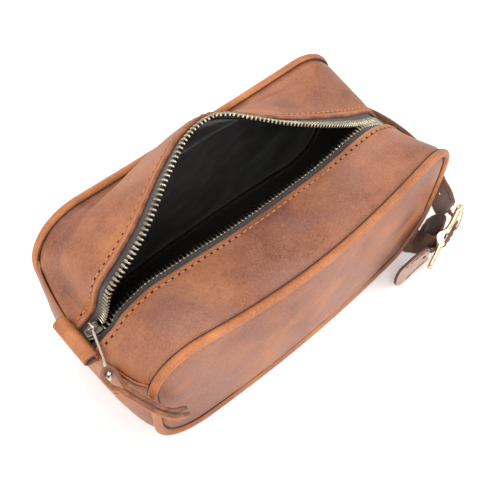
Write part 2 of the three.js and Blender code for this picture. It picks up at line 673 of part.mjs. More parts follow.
// tube along Y whose flat nose points up and towards the bag
function endTab() {
  const { length, radius, hole } = TAB;
  const onCircle = (r, angle) => new THREE.Vector2(r * Math.cos(angle), r * Math.sin(angle));
  const nose = radius + TAB.noseOut;
  const shape = new THREE.Shape([
    ...Array.from({ length: 21 }, (_, i) => onCircle(radius, radians(22 + 316 * i / 20))),
    new THREE.Vector2(nose, -TAB.noseHalf),
    new THREE.Vector2(nose, TAB.noseHalf),
  ]);
  shape.closePath();
  const bore = new THREE.Path(
    Array.from({ length: 16 }, (_, i) => onCircle(hole, -radians(360 * i / 16))));
  bore.closePath();
  shape.holes.push(bore);
  const x = -(LEFT_END.reach + radius + TAB.gap);
  return new THREE.ExtrudeGeometry(shape, { depth: length, bevelEnabled: false })
    .rotateZ(radians(45))
    .translate(0, 0, -length / 2)
    .rotateX(Math.PI / 2)
    .translate(x, TAB.y, SEAM_Z - LEFT_END.drop + TAB.rise);
}

// ---------------------------------------------------------------- buckle
// it hangs on edge beside the lower front corner of the right end
const BUCKLE = {
  halfLength: 24.6, halfWidth: 14.2, bar: 2.6, thick: 2.2, pinR: 1.2,
  endLevel: -2.0,                // end bars, inward of the pin
  dip: 2.7, extra: 1.2,          // side bars move inward and gain half thickness at the pin
  dipLength: 5.5,
};
const BUCKLE_CENTRE = vec(114.0, -75.2, 28.6);
const ACROSS = vec(0.578, 0.207, -0.789).normalize();                 // along the pin
const ALONG = squareTo(vec(-0.755, -0.232, -0.614), ACROSS);          // down its length
const INWARD = ACROSS.clone().cross(ALONG).normalize();               // towards the bag
const atBuckle = (along, inward, across = 0) => shifted(BUCKLE_CENTRE, ALONG, along)
  .addScaledVector(INWARD, inward)
  .addScaledVector(ACROSS, across);
const buckleBox = (along, inward, ...size) =>
  box(...size).applyMatrix4(frameAt(atBuckle(along, inward), ALONG, INWARD));

function buckleFrame() {
  const { halfLength, halfWidth, bar, thick, pinR, endLevel, dip, extra, dipLength } = BUCKLE;
  const shares = [-1, -0.42, -0.3, -0.2, -0.1, 0, 0.1, 0.2, 0.3, 0.42, 1];
  const sideBar = (sign) => strap(shares.map((share) => {
    const along = share * halfLength;
    const nearPin = Math.exp(-((along / dipLength) ** 2));
    return {
      centre: atBuckle(along, endLevel + dip * nearPin, sign * (halfWidth - bar / 2)),
      across: ACROSS,
      normal: INWARD,
      halfWidth: bar / 2,
      halfThick: thick / 2 + extra * nearPin,
    };
  }));
  const endBar = (sign) =>
    buckleBox(sign * (halfLength - bar / 2), endLevel, bar, 2 * halfWidth - 1, thick);
  const pinHalf = halfWidth - 0.8;
  const pin = rod(atBuckle(0, 0, -pinHalf), atBuckle(0, 0, pinHalf), pinR, 12);
  return join(sideBar(-1), sideBar(1), endBar(-1), endBar(1), pin);
}

// ring round the pin and a tongue that passes through the strap to the end bar
function buckleProng() {
  const innerR = BUCKLE.pinR + 0.3;
  const ringWidth = 2.6;
  const shape = new THREE.Shape();
  shape.absarc(0, 0, innerR + 0.9, 0, 2 * Math.PI, false);
  const hole = new THREE.Path();
  hole.absarc(0, 0, innerR, 0, 2 * Math.PI, true);
  shape.holes.push(hole);
  const options = { depth: ringWidth, bevelEnabled: false, curveSegments: 8 };
  const ring = new THREE.ExtrudeGeometry(shape, options)
    .translate(0, 0, -ringWidth / 2)
    .applyMatrix4(frameAt(BUCKLE_CENTRE, ALONG, ACROSS));
  // tongue: [along, inward]
  const path = [[-1.6, -1.3], [-4.0, -4.0], [-8, -6.5], [-13, -6.9], [-19, -5.9], [-24.2, -4.4]]
    .map(([along, inward]) => atBuckle(along, inward));
  const last = path.length - 1;
  const tongue = strap(path.map((centre, i) => {
    const tangent = path[Math.min(i + 1, last)].clone().sub(path[Math.max(i - 1, 0)]).normalize();
    const normal = tangent.cross(ACROSS).normalize();
    return { centre, across: ACROSS, normal, halfWidth: i === last ? 0.8 : 1.2, halfThick: 0.7 };
  }));
  return join(ring, tongue);
}

// ---------------------------------------------------------------- handle straps
const STRAP_W = 22;
const STRAP_T = 2.0;
const SHORT_STRAP_T = 1.3;
const TIP_SHARES = [0.34, 0.72, 0.92];   // width shares of the rounded tip, from the free end

// long strap: round the right end, through the buckle and out to its free end
function handleStrap() {
  const upright = vec(0, 0, 1);
  const inBuckle = ACROSS.clone().negate();
  const tail = shifted(inBuckle, INWARD, 0.32).normalize();
  // centre line points and the width direction at each
  const stations = strapLine([
    [vec(124.6, 51.2, 51.5), upright], [vec(126.8, 46.5, 51.4), upright],
    [vec(130.8, 38, 51.2), upright], [vec(135.8, 27, 51), upright],
    [vec(139.6, 14, 51), upright], [vec(141.2, -2, 51), upright],
    [vec(140.2, -20, 50.6), vec(0.02, -0.06, 1)], [vec(137.5, -37, 49), vec(0.12, -0.25, 0.95)],
    [vec(132.9, -48.6, 44.8), vec(0.05, -0.44, 0.9)],
    [vec(129.0, -57.9, 42.2), vec(0.103, -0.521, 0.847)],
    [vec(125.6, -65.2, 39.7), vec(-0.041, -0.572, 0.819)],
    [atBuckle(-17.6, 2.6), inBuckle], [atBuckle(-15.6, -1.6), inBuckle],
    [atBuckle(-12.2, -4.1), inBuckle], [atBuckle(-6, -4.5), inBuckle],
    [atBuckle(0, -4.4), inBuckle], [atBuckle(5, -3.6), inBuckle],
    [atBuckle(9.2, -0.8), inBuckle], [atBuckle(12.6, 2.0), inBuckle],
    [atBuckle(18, 4.9, -1.4), tail], [atBuckle(25.5, 8.2, -3.6), tail],
    [atBuckle(35.3, 11.6, -6.8), tail], [atBuckle(44, 13.8, -9.6), tail],
  ], STRAP_W / 2, STRAP_T / 2, 60);
  TIP_SHARES.forEach((share, i) => {
    stations[stations.length - 1 - i].halfWidth *= share;
  });
  const prongSlot = buckleBox(-7.2, -4.6, 10.6, 4.2, 9.0);
  return cut(strap(stations), prongSlot);
}

// short strap: from the front seam round the buckle pin and back, an open loop
function buckleStrap() {
  const half = STRAP_W / 2 - 0.8;
  const wrapR = BUCKLE.pinR + 0.35 + SHORT_STRAP_T / 2;
  const pair = (along, inward) => [atBuckle(along, inward, -half), atBuckle(along, inward, half)];
  const wrap = [0, -30, -60, -90, -120, -150, -180].map(radians)
    .map((angle) => pair(wrapR * Math.cos(angle), wrapR * Math.sin(angle)));
  // the two edges, point by paired point
  const edges = [
    [vec(113.9, -58.2, 15.4), vec(99.2, -59.4, 4.8)],
    [vec(113.4, -60.6, 18.6), vec(101.2, -62.0, 4.9)],
    [vec(109.0, -66.8, 27.2), vec(105.6, -69.5, 7.5)],
    [vec(106.3, -71.9, 31.9), atBuckle(9.0, 5.4, 10.6)],
    [vec(105.0, -75.0, 34.6), atBuckle(5.4, 3.4, 10.2)],
    pair(2.7, 4.6), pair(wrapR + 0.1, 1.8),
    ...wrap,
    pair(-wrapR - 0.3, 1.4), pair(-3.8, 2.4),
    [vec(113.3, -72.5, 41.9), vec(120.8, -70.3, 23.3)],
    [vec(116.7, -70.8, 44.1), vec(119.7, -69.3, 24.2)],
    [vec(117.9, -67.4, 43.5), vec(117.8, -66.8, 23.4)],
    [vec(117.5, -63.3, 38.8), vec(115.8, -63.3, 18.6)],
    [vec(117.2, -59.8, 31), vec(113.8, -61.4, 11.6)],
    [vec(116.4, -58.4, 23.4), vec(107.4, -60.6, 6.6)],
    [vec(116.2, -57.6, 13.6), vec(101.2, -58.7, 2.4)],
  ];
  const prongSlot = buckleBox(-1.6, -1.0, 9.4, 4.2, 8.4);
  return cut(strap(ribbonLine(edges, SHORT_STRAP_T / 2, 56)), prongSlot);
}

// ---------------------------------------------------------------- assembly
const MATERIALS = {
  leather: { color: 0xb57a55, roughness: 0.55, metalness: 0 },
  piping: { color: 0xc88452, roughness: 0.5, metalness: 0 },
  tab: { color: 0xcf8a55, roughness: 0.5, metalness: 0 },
  cord: { color: 0xd8cfc0, roughness: 0.9, metalness: 0 },
  lining: { color: 0x1d1512, roughness: 0.9, metalness: 0 },
  tape: { color: 0x2f2a2b, roughness: 0.85, metalness: 0 },
  brass: { color: 0x8d7f63, roughness: 0.35, metalness: 1 },
  gold: { color: 0xe6dcc0, roughness: 0.3, metalness: 1 },
  steel: { color: 0xd9cfc2, roughness: 0.3, metalness: 1 },
  strap: { color: 0x8a5a40, roughness: 0.55, metalness: 0 },
};

const bag = new THREE.Group();

function add(name, geometry, material) {
  const settings = { ...MATERIALS[material], name: material };
  const mesh = new THREE.Mesh(geometry, new THREE.MeshStandardMaterial(settings));
  mesh.name = name;
  bag.add(mesh);
}

for (const [name, side] of SIDES) add(`${name}_panel`, panel(side), 'leather');
for (const [name, side] of SIDES) add(`lining_${name}`, panelLining(side), 'lining');
for (const [name, side] of SIDES) {
  add(`${name}_piping`, piping(side), 'piping');
  add(`${name}_piping_cord`, pipingCord(side), 'cord');
}
add('bottom_end_gusset', gusset(), 'leather');
add('lining_gusset', gussetLining(), 'lining');
for (const [name, side] of SIDES) {
  add(`top_strip_${name}`, topStrip(side), 'leather');
  add(`zip_tape_${name}`, zipTape(side), 'tape');
  add(`zip_teeth_${name}`, zipTeeth(side), 'brass');
  add(`lining_top_${name}`, topLining(side), 'lining');
}
add('zip_slider', zipSlider(), 'brass');
add('pull_bar', pullBar(), 'steel');
add('pull_leather', pullLeather(), 'piping');
for (const [name, side] of SIDES) add(`zip_stop_${name}`, zipStop(side), 'brass');
add('end_tab', endTab(), 'tab');
add('buckle_frame', buckleFrame(), 'gold');
add('handle_strap', handleStrap(), 'strap');
add('buckle_prong', buckleProng(), 'gold');
add('buckle_strap', buckleStrap(), 'strap');

export default bag;
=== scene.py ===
# Leather hanging toiletry bag: the looks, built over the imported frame. Millimetres inside, metres in Blender.
import json
import math
import bpy
import bmesh
import numpy as np
from mathutils import Vector, Matrix, noise as mnoise


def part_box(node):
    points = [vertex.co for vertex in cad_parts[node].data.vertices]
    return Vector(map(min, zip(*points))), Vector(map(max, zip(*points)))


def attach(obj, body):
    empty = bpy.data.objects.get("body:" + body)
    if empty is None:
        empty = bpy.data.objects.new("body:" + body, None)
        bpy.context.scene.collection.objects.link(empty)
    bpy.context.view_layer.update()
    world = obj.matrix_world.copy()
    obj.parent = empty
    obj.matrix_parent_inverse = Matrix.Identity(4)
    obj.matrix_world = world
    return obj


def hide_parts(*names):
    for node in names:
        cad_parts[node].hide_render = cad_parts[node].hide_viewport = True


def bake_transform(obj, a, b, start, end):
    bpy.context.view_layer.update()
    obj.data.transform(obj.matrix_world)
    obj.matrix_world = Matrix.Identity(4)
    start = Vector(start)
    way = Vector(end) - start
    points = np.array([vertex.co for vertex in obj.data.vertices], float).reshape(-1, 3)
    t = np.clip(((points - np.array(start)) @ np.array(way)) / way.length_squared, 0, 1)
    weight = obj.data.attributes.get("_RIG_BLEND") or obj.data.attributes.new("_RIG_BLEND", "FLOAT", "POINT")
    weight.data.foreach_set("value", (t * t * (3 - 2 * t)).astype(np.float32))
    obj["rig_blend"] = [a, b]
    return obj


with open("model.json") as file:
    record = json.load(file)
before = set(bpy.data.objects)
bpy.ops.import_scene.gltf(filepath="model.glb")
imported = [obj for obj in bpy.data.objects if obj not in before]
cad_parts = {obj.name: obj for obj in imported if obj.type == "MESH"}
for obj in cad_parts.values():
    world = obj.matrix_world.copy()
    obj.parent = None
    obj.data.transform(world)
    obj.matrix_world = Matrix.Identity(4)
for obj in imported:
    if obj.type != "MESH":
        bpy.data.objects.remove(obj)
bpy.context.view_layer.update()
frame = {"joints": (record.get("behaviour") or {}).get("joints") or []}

# ------------------------------------------------------------------ dimensions shared with the CAD frame (mm)
LENGTH, DEPTH, HEIGHT, CORNER_R, BEAD_R = 240.0, 108.0, 111.5, 34.8, 2.6
FRONT_BOW, FRONT_SAG, BACK_BOW, BACK_SAG, LOW_BOW = 7.6, 14.6, 1.5, 4.0, 6.0
END_BULGE, END_DROP, PANEL_CROWN, SKIN, SEAM_GAP = 8.0, 7.5, 3.0, 1.8, 3.3
RIGHT_DROP, RIGHT_REACH, RIGHT_FOLD = 10.0, 118.0, 1.25
SEAM_Z, ZIP_Y = 88.0, -5.0
ZIP_A, ZIP_B = (-115.0, 88.0), (92.0, 99.5)
EDGE = 8.5                     # teeth line to leather edge
BACK_OPEN = [[-128, 0], [-116.4, 0], [-114.6, 12], [-111.4, 24], [-106.8, 28], [-98.4, 32.5], [-89.9, 37], [-80.7, 42.6], [-70, 50], [-58.4, 58], [-47.3, 64], [-36, 69.4], [-27, 71.6], [-19, 72], [-11, 71], [-2, 66.3], [6, 60], [14, 54], [24, 46.5], [36, 38.5], [50, 29.5], [64, 20.5], [76, 12.5], [86, 5.5], [92, 2], [98, 0], [128, 0]]
FRONT_OPEN = [[-128, 0], [-113, 0.6], [-108.5, 4], [-104.5, 6], [-100, 7.3], [-93, 9.2], [-86, 10.8], [-79, 10.3], [-66, 8.4], [-52, 7], [-37, 4.6], [-22, 2.8], [-5, 1.4], [18, 0.6], [44, 0.2], [60, 2], [70, 4], [79, 4.2], [86, 4], [94, 1.5], [99, 0], [128, 0]]
JOINT = {j["name"]: j for j in frame["joints"]}
BACK_MAX = JOINT["back_flap_close"]["range_deg"][1]
FRONT_MAX = JOINT["front_flap_close"]["range_deg"][1]
BACK_AXIS = (54.5, 108.5)
FRONT_AXIS = (-59.0, 104.0)


def smooth_table(tab):
    xs = np.arange(-130.0, 130.01, 0.5)
    ys = np.interp(xs, [a for a, _ in tab], [b for _, b in tab])
    k = np.exp(-0.5 * (np.arange(-8, 9) * 0.5 / 1.3) ** 2)
    k /= k.sum()
    sm = np.convolve(np.pad(ys, 8, mode="edge"), k, mode="valid")
    return xs, sm


TAB = {1: smooth_table(BACK_OPEN), -1: smooth_table(FRONT_OPEN)}


def table(side, x):
    return float(np.interp(x, *TAB[side]))


def clamp(t, a, b):
    return min(max(t, a), b)


def smooth(t):
    t = clamp(t, 0.0, 1.0)
    return t * t * (3 - 2 * t)


def vec(*a):
    return np.array(a, float)


def unit(v):
    v = np.asarray(v, float)
    n = np.linalg.norm(v)
    return v / n if n > 1e-9 else v


def pn(p, scale, seed=0.0):
    """smooth noise about zero at a point in mm; scale is the feature size in mm"""
    return mnoise.noise(Vector((p[0] / scale + seed, p[1] / scale - seed * 0.7, p[2] / scale + seed * 0.3)))


# ------------------------------------------------------------------ surfaces
def seam(side, x, z):
    c = max(0.0, math.cos(math.pi * x / LENGTH))
    tz = clamp((z - BEAD_R) / HEIGHT, 0, 1)
    if side < 0:
        return vec(x, -DEPTH / 2 - c * (FRONT_BOW * tz + LOW_BOW * (1 - tz)), z - FRONT_SAG * c * tz)
    return vec(x, DEPTH / 2 + c * (BACK_BOW * tz + LOW_BOW * (1 - tz)), z - BACK_SAG * c * tz)


def panel_point(side, inset, off, u, v):
    a, b, r, cz = LENGTH / 2 - inset, HEIGHT / 2 - inset, CORNER_R - inset, BEAD_R + HEIGHT / 2
    z = cz + v * b
    over = abs(z - cz) - (b - r)
    hw = a - r + math.sqrt(max(r * r - over * over, 0)) if over > 0 else a
    x = u * hw
    s = seam(side, x, z)
    crown = PANEL_CROWN * (1 - (x / a) ** 2) * (1 - v * v)
    edge = min((a - abs(x)) if over <= 0 else (hw - abs(x)), (1 - abs(v)) * b + 0.0)
    return vec(s[0], s[1] + side * (crown + off), s[2]), edge


ARC_Z = BEAD_R + HEIGHT - CORNER_R
SEAM_ANGLE = math.asin((SEAM_Z + 0.25 - ARC_Z) / CORNER_R)


def gusset_path():
    a, r, pts = LENGTH / 2, CORNER_R, []
    def arc(cx, cz, a0, a1, n, first):
        for i in range(0 if first else 1, n + 1):
            t = a0 + (a1 - a0) * i / n
            pts.append((cx + r * math.cos(t), cz + r * math.sin(t), t))
    def line(x0, z0, x1, z1, t, n):
        for i in range(1, n):
            pts.append((x0 + (x1 - x0) * i / n, z0 + (z1 - z0) * i / n, t))
    arc(a - r, ARC_Z, SEAM_ANGLE, 0, 5, True)
    line(a, ARC_Z, a, BEAD_R + r, 0, 12)
    arc(a - r, BEAD_R + r, 0, -math.pi / 2, 16, True)
    line(a - r, BEAD_R, -a + r, BEAD_R, -math.pi / 2, 34)
    arc(-a + r, BEAD_R + r, -math.pi / 2, -math.pi, 16, True)
    line(-a, BEAD_R + r, -a, ARC_Z, -math.pi, 12)
    arc(-a + r, ARC_Z, -math.pi, -math.pi - SEAM_ANGLE, 5, True)
    return pts


GP = gusset_path()


def gusset_point(i, v, inset):
    x, z, ang = GP[i]
    f, b = seam(-1, x, z), seam(1, x, z)
    y0, y1 = f[1] + SEAM_GAP + inset, b[1] - SEAM_GAP - inset
    k, side = (v + 1) / 2, abs(math.cos(ang))
    fold = 1 - RIGHT_FOLD * smooth((z - 52) / 36) if x > 0 else 1
    swell = END_BULGE * fold * (1 - v * v) * side * math.sin(math.pi / 2 * clamp((z - 6) / 50, 0, 1))
    drop = (RIGHT_DROP if x > 0 else END_DROP) * (1 - v * v) * smooth((z - 45) / (SEAM_Z - 45))
    low = (BEAD_R - SKIN / 2) * smooth((1 - abs(v)) / 0.16)
    n = vec(math.cos(ang), 0, math.sin(ang))
    p = vec(x, y0 + (y1 - y0) * k, f[2] + (b[2] - f[2]) * k - drop) + n * low
    p[0] += math.copysign(1, x) * swell
    return p, n


T_ANG = math.asin((SEAM_Z + 0.9 - ARC_Z) / CORNER_R)
ARC_LEN = CORNER_R * (math.pi / 2 - T_ANG)
TOP_LEN = LENGTH - 2 * CORNER_R
PATH = 2 * ARC_LEN + TOP_LEN


def top_outline(q):
    s, a = q * PATH, LENGTH / 2 - CORNER_R
    if s < ARC_LEN:
        t = math.pi - T_ANG - s / CORNER_R
        return -a + CORNER_R * math.cos(t), ARC_Z + CORNER_R * math.sin(t)
    if s > ARC_LEN + TOP_LEN:
        t = math.pi / 2 - (s - ARC_LEN - TOP_LEN) / CORNER_R
        return a + CORNER_R * math.cos(t), ARC_Z + CORNER_R * math.sin(t)
    return -a + s - ARC_LEN, BEAD_R + HEIGHT


def zip_line(q):
    s, a = q * PATH, LENGTH / 2 - CORNER_R
    right = q > 0.5
    reach, low = (RIGHT_REACH if right else LENGTH / 2 + END_BULGE), SEAM_Z + 0.9 - (RIGHT_DROP if right else END_DROP)
    if s < ARC_LEN:
        x = -reach + (reach - a) * s / ARC_LEN
    elif s > ARC_LEN + TOP_LEN:
        x = a + (reach - a) * (s - ARC_LEN - TOP_LEN) / ARC_LEN
    else:
        x = -a + s - ARC_LEN
    z = ZIP_A[1] + (x - ZIP_A[0]) / (ZIP_B[0] - ZIP_A[0]) * (ZIP_B[1] - ZIP_A[1])
    if x < -a:
        z = low + (z - low) * (1 - ((-a - x) / (reach - a)) ** 8)
    if x > a:
        z = z - (z - low) * ((x - a) / (reach - a)) ** 2.5
    return vec(x, ZIP_Y, z)


def top_point(side, q, k):
    """(open position, share of the joint's full travel)"""
    x, z = top_outline(q)
    root = seam(side, x, z)
    root[1] -= side * SEAM_GAP
    edge = zip_line(q)
    p = root + (edge - root) * k
    ve = 1 - abs(ZIP_Y) / (DEPTH / 2)
    vk = 1 - k * ve
    extra = (1 - vk * vk) - k * (1 - (1 - ve) ** 2)
    s = min(q, 1 - q) * PATH
    near = max(0.0, 1 - s / ARC_LEN) ** 2
    p[0] += (RIGHT_REACH - LENGTH / 2 if q > 0.5 else -END_BULGE) * extra * near
    p[2] -= (RIGHT_DROP if q > 0.5 else END_DROP) * extra * near
    p[2] += 2.2 * math.sin(math.pi * clamp(k, 0, 1)) * smooth(1 - abs(p[0]) / 130)
    full = BACK_MAX if side > 0 else FRONT_MAX
    deg = table(side, p[0]) * smooth(k / 0.3)
    ax = BACK_AXIS if side > 0 else FRONT_AXIS
    a = -side * math.radians(deg)
    y, zz = p[1] - ax[0], p[2] - ax[1]
    return vec(p[0], ax[0] + y * math.cos(a) - zz * math.sin(a), ax[1] + y * math.sin(a) + zz * math.cos(a)), deg / full


def share_at(side, q, d):
    x, z = top_outline(q)
    root = seam(side, x, z)
    w = np.linalg.norm(root - zip_line(q)) - SEAM_GAP
    return 1 - d / w


# ------------------------------------------------------------------ materials
def lin(c):
    c = c / 255.0
    return c / 12.92 if c <= 0.04045 else ((c + 0.055) / 1.055) ** 2.4


def rgb(r, g, b):
    return (lin(r), lin(g), lin(b), 1.0)


class Tree:
    def __init__(self, name):
        self.mat = bpy.data.materials.new(name)
        self.mat.use_nodes = True
        self.nt = self.mat.node_tree
        self.nt.nodes.clear()
        self.out = self.nt.nodes.new("ShaderNodeOutputMaterial")
        self.bsdf = self.nt.nodes.new("ShaderNodeBsdfPrincipled")
        self.link(self.bsdf.outputs["BSDF"], self.out.inputs["Surface"])
        self.coord = self.nt.nodes.new("ShaderNodeTexCoord")

    def link(self, a, b):
        self.nt.links.new(a, b)

    def put(self, inp, val):
        if hasattr(val, "is_output") or isinstance(val, bpy.types.NodeSocket):
            self.link(val, inp)
        else:
            inp.default_value = val

    def noise(self, scale, detail=4, rough=0.55, dist=0.0, vec_=None):
        n = self.nt.nodes.new("ShaderNodeTexNoise")
        self.put(n.inputs["Vector"], vec_ if vec_ is not None else self.coord.outputs["Object"])
        n.inputs["Scale"].default_value = scale
        n.inputs["Detail"].default_value = detail
        n.inputs["Roughness"].default_value = rough
        n.inputs["Distortion"].default_value = dist
        return n.outputs["Fac"]

    def voronoi(self, scale, feature="DISTANCE_TO_EDGE", vec_=None, rand=1.0):
        n = self.nt.nodes.new("ShaderNodeTexVoronoi")
        n.feature = feature
        self.put(n.inputs["Vector"], vec_ if vec_ is not None else self.coord.outputs["Object"])
        n.inputs["Scale"].default_value = scale
        n.inputs["Randomness"].default_value = rand
        return n.outputs["Distance"]

    def ramp(self, fac, stops):
        n = self.nt.nodes.new("ShaderNodeValToRGB")
        self.link(fac, n.inputs["Fac"])
        e = n.color_ramp.elements
        e[0].position, e[0].color = stops[0]
        e[1].position, e[1].color = stops[-1]
        for pos, col in stops[1:-1]:
            x = e.new(pos)
            x.color = col
        return n.outputs["Color"]

    def math(self, op, a, b=0.0, c=None, clampit=False):
        n = self.nt.nodes.new("ShaderNodeMath")
        n.operation = op
        n.use_clamp = clampit
        self.put(n.inputs[0], a)
        self.put(n.inputs[1], b)
        if c is not None:
            self.put(n.inputs[2], c)
        return n.outputs[0]

    def mix(self, fac, a, b, mode="MIX"):
        n = self.nt.nodes.new("ShaderNodeMix")
        n.data_type = "RGBA"
        n.blend_type = mode
        self.put(n.inputs[0], fac)
        self.put(n.inputs[6], a)
        self.put(n.inputs[7], b)
        return n.outputs[2]

    def range(self, v, a, b, c, d):
        n = self.nt.nodes.new("ShaderNodeMapRange")
        self.put(n.inputs["Value"], v)
        n.inputs["From Min"].default_value, n.inputs["From Max"].default_value = a, b
        n.inputs["To Min"].default_value, n.inputs["To Max"].default_value = c, d
        return n.outputs["Result"]

    def bump(self, height, strength, dist, normal=None):
        n = self.nt.nodes.new("ShaderNodeBump")
        n.inputs["Strength"].default_value = strength
        n.inputs["Distance"].default_value = dist
        self.put(n.inputs["Height"], height)
        if normal is not None:
            self.link(normal, n.inputs["Normal"])
        return n.outputs["Normal"]

    def pointiness(self):
        return self.nt.nodes.new("ShaderNodeNewGeometry").outputs["Pointiness"]

    def uv(self, sx=1.0, sy=1.0):
        m = self.nt.nodes.new("ShaderNodeMapping")
        self.link(self.coord.outputs["UV"], m.inputs["Vector"])
        m.inputs["Scale"].default_value = (sx, sy, 1)
        return m.outputs["Vector"]

    def sep(self, v):
        n = self.nt.nodes.new("ShaderNodeSeparateXYZ")
        self.link(v, n.inputs[0])
        return n.outputs


def leather(name, dark, mid, light, mauve=None, rough=(0.42, 0.6), grain=1.0, seed=0.0, spec=0.45, worn=0.35):
    t = Tree(name)
    big = t.noise(13, 3, 0.5, 0.4)
    med = t.noise(55, 5, 0.6, 0.3)
    fine = t.noise(420, 6, 0.62)
    blend = t.math("ADD", t.math("MULTIPLY", big, 0.62), t.math("MULTIPLY", med, 0.38))
    col = t.ramp(blend, [(0.36, dark), (0.5, mid), (0.64, light)])
    if mauve is not None:
        patch = t.range(t.noise(21, 2, 0.5, 0.8), 0.52, 0.68, 0.0, 0.75)
        col = t.mix(patch, col, mauve)
    speck = t.noise(1050, 4, 0.7)
    col = t.mix(t.range(fine, 0.3, 0.7, 0.0, 0.3), col, t.mix(0.5, col, (0.0, 0.0, 0.0, 1)))
    col = t.mix(t.range(speck, 0.46, 0.66, 0.0, 0.34), col, light)
    col = t.mix(t.range(speck, 0.5, 0.34, 0.0, 0.4), col, t.mix(0.5, col, (0.0, 0.0, 0.0, 1)))
    # pull-up: paler where the hide is stretched over an edge; the darkening down in a crease is painted shade
    pt = t.pointiness()
    col = t.mix(t.range(pt, 0.505, 0.56, 0.0, worn), col, light)
    # painted shade: concave creases darkened towards near-black
    col = t.mix(t.range(pt, 0.495, 0.44, 0.0, 0.55), col, t.mix(0.65, col, (0.01, 0.005, 0.003, 1)))
    scr = t.range(t.noise(95, 2, 0.5, 2.2), 0.66, 0.7, 0.0, 0.16)
    col = t.mix(scr, col, light)
    t.link(col, t.bsdf.inputs["Base Color"])
    t.link(t.range(med, 0.3, 0.7, rough[0], rough[1]), t.bsdf.inputs["Roughness"])
    t.bsdf.inputs["Specular IOR Level"].default_value = spec
    cells = t.range(t.voronoi(1150), 0.0, 0.22, 0.0, 1.0)
    pores = t.noise(1900, 3, 0.6)
    creases = t.noise(150, 6, 0.65, 0.9)
    h = t.math("ADD", t.math("MULTIPLY", cells, 0.35 * grain), t.math("MULTIPLY", pores, 0.35 * grain))
    h = t.math("ADD", h, t.math("MULTIPLY", creases, 1.5))
    t.link(t.bump(h, 0.55, 0.00022), t.bsdf.inputs["Normal"])
    return t.mat


def suede(name, a, b, seed=0.0):
    t = Tree(name)
    n1, n2 = t.noise(70, 5, 0.65, 0.5), t.noise(1500, 4, 0.7)
    col = t.ramp(n1, [(0.3, a), (0.7, b)])
    col = t.mix(t.range(n2, 0.35, 0.65, 0.0, 0.35), col, t.mix(0.6, col, (0, 0, 0, 1)))
    t.link(col, t.bsdf.inputs["Base Color"])
    t.bsdf.inputs["Roughness"].default_value = 0.95
    t.bsdf.inputs["Specular IOR Level"].default_value = 0.12
    t.bsdf.inputs["Sheen Weight"].default_value = 0.35
    t.bsdf.inputs["Sheen Roughness"].default_value = 0.6
    t.link(t.bump(t.math("ADD", n2, t.math("MULTIPLY", n1, 0.6)), 0.6, 0.0003), t.bsdf.inputs["Normal"])
    return t.mat


def edge_mat(name, a, b):
    t = Tree(name)
    n1, n2 = t.noise(160, 5, 0.6), t.noise(1400, 3, 0.7)
    col = t.ramp(n1, [(0.35, a), (0.65, b)])
    t.link(col, t.bsdf.inputs["Base Color"])
    t.bsdf.inputs["Roughness"].default_value = 0.75
    t.link(t.bump(n2, 0.5, 0.0002), t.bsdf.inputs["Normal"])
    return t.mat


def herringbone(name):
    """woven zip tape: UV is in millimetres along (x) and across (y)"""
    t = Tree(name)
    s = t.sep(t.uv(1, 1))
    # the twill changes direction in bands across the tape
    v = t.math("PINGPONG", s[1], 1.6)
    diag = t.math("ADD", t.math("MULTIPLY", s[0], 1.0), t.math("MULTIPLY", v, 1.0))
    ridge = t.math("SINE", t.math("MULTIPLY", diag, 2 * math.pi / 0.9), 0)
    thread = t.math("SINE", t.math("MULTIPLY", s[0], 2 * math.pi / 0.42), 0)
    h = t.math("ADD", t.math("MULTIPLY", ridge, 0.5), t.math("MULTIPLY", thread, 0.2))
    n = t.noise(700, 4, 0.6)
    fac = t.range(t.math("ADD", h, n), -0.2, 1.2, 0.0, 1.0)
    col = t.mix(fac, rgb(33, 26, 27), rgb(84, 72, 71))
    t.link(col, t.bsdf.inputs["Base Color"])
    t.bsdf.inputs["Roughness"].default_value = 0.85
    t.bsdf.inputs["Specular IOR Level"].default_value = 0.2
    t.bsdf.inputs["Sheen Weight"].default_value = 0.3
    t.link(t.bump(t.math("ADD", h, t.math("MULTIPLY", n, 0.4)), 0.7, 0.0003), t.bsdf.inputs["Normal"])
    return t.mat


def cloth_lining(name, a, b):
    t = Tree(name)
    w = t.nt.nodes.new("ShaderNodeTexWave")
    w.wave_type, w.bands_direction = "BANDS", "DIAGONAL"
    w.inputs["Scale"].default_value = 700
    w.inputs["Distortion"].default_value = 0.6
    t.link(t.coord.outputs["Object"], w.inputs["Vector"])
    n1 = t.noise(26, 4, 0.6)
    col = t.ramp(n1, [(0.3, a), (0.7, b)])
    col = t.mix(t.range(w.outputs["Fac"], 0, 1, 0.0, 0.3), col, t.mix(0.5, col, (0, 0, 0, 1)))
    t.link(col, t.bsdf.inputs["Base Color"])
    t.bsdf.inputs["Roughness"].default_value = 0.8
    t.bsdf.inputs["Specular IOR Level"].default_value = 0.25
    t.bsdf.inputs["Sheen Weight"].default_value = 0.2
    t.link(t.bump(t.math("ADD", w.outputs["Fac"], t.noise(900, 3)), 0.35, 0.0002), t.bsdf.inputs["Normal"])
    return t.mat


def metal(name, base, dark, rough=(0.25, 0.42), tarnish=0.35):
    t = Tree(name)
    n = t.noise(130, 5, 0.6, 0.4)
    f = t.noise(2200, 3, 0.6)
    col = t.mix(t.range(n, 0.42, 0.68, 0.0, tarnish), base, dark)
    col = t.mix(t.range(t.pointiness(), 0.5, 0.46, 0.0, 0.7), col, dark)
    t.link(col, t.bsdf.inputs["Base Color"])
    t.bsdf.inputs["Metallic"].default_value = 1.0
    t.link(t.range(n, 0.3, 0.7, rough[0], rough[1]), t.bsdf.inputs["Roughness"])
    t.link(t.bump(f, 0.18, 0.0001), t.bsdf.inputs["Normal"])
    return t.mat


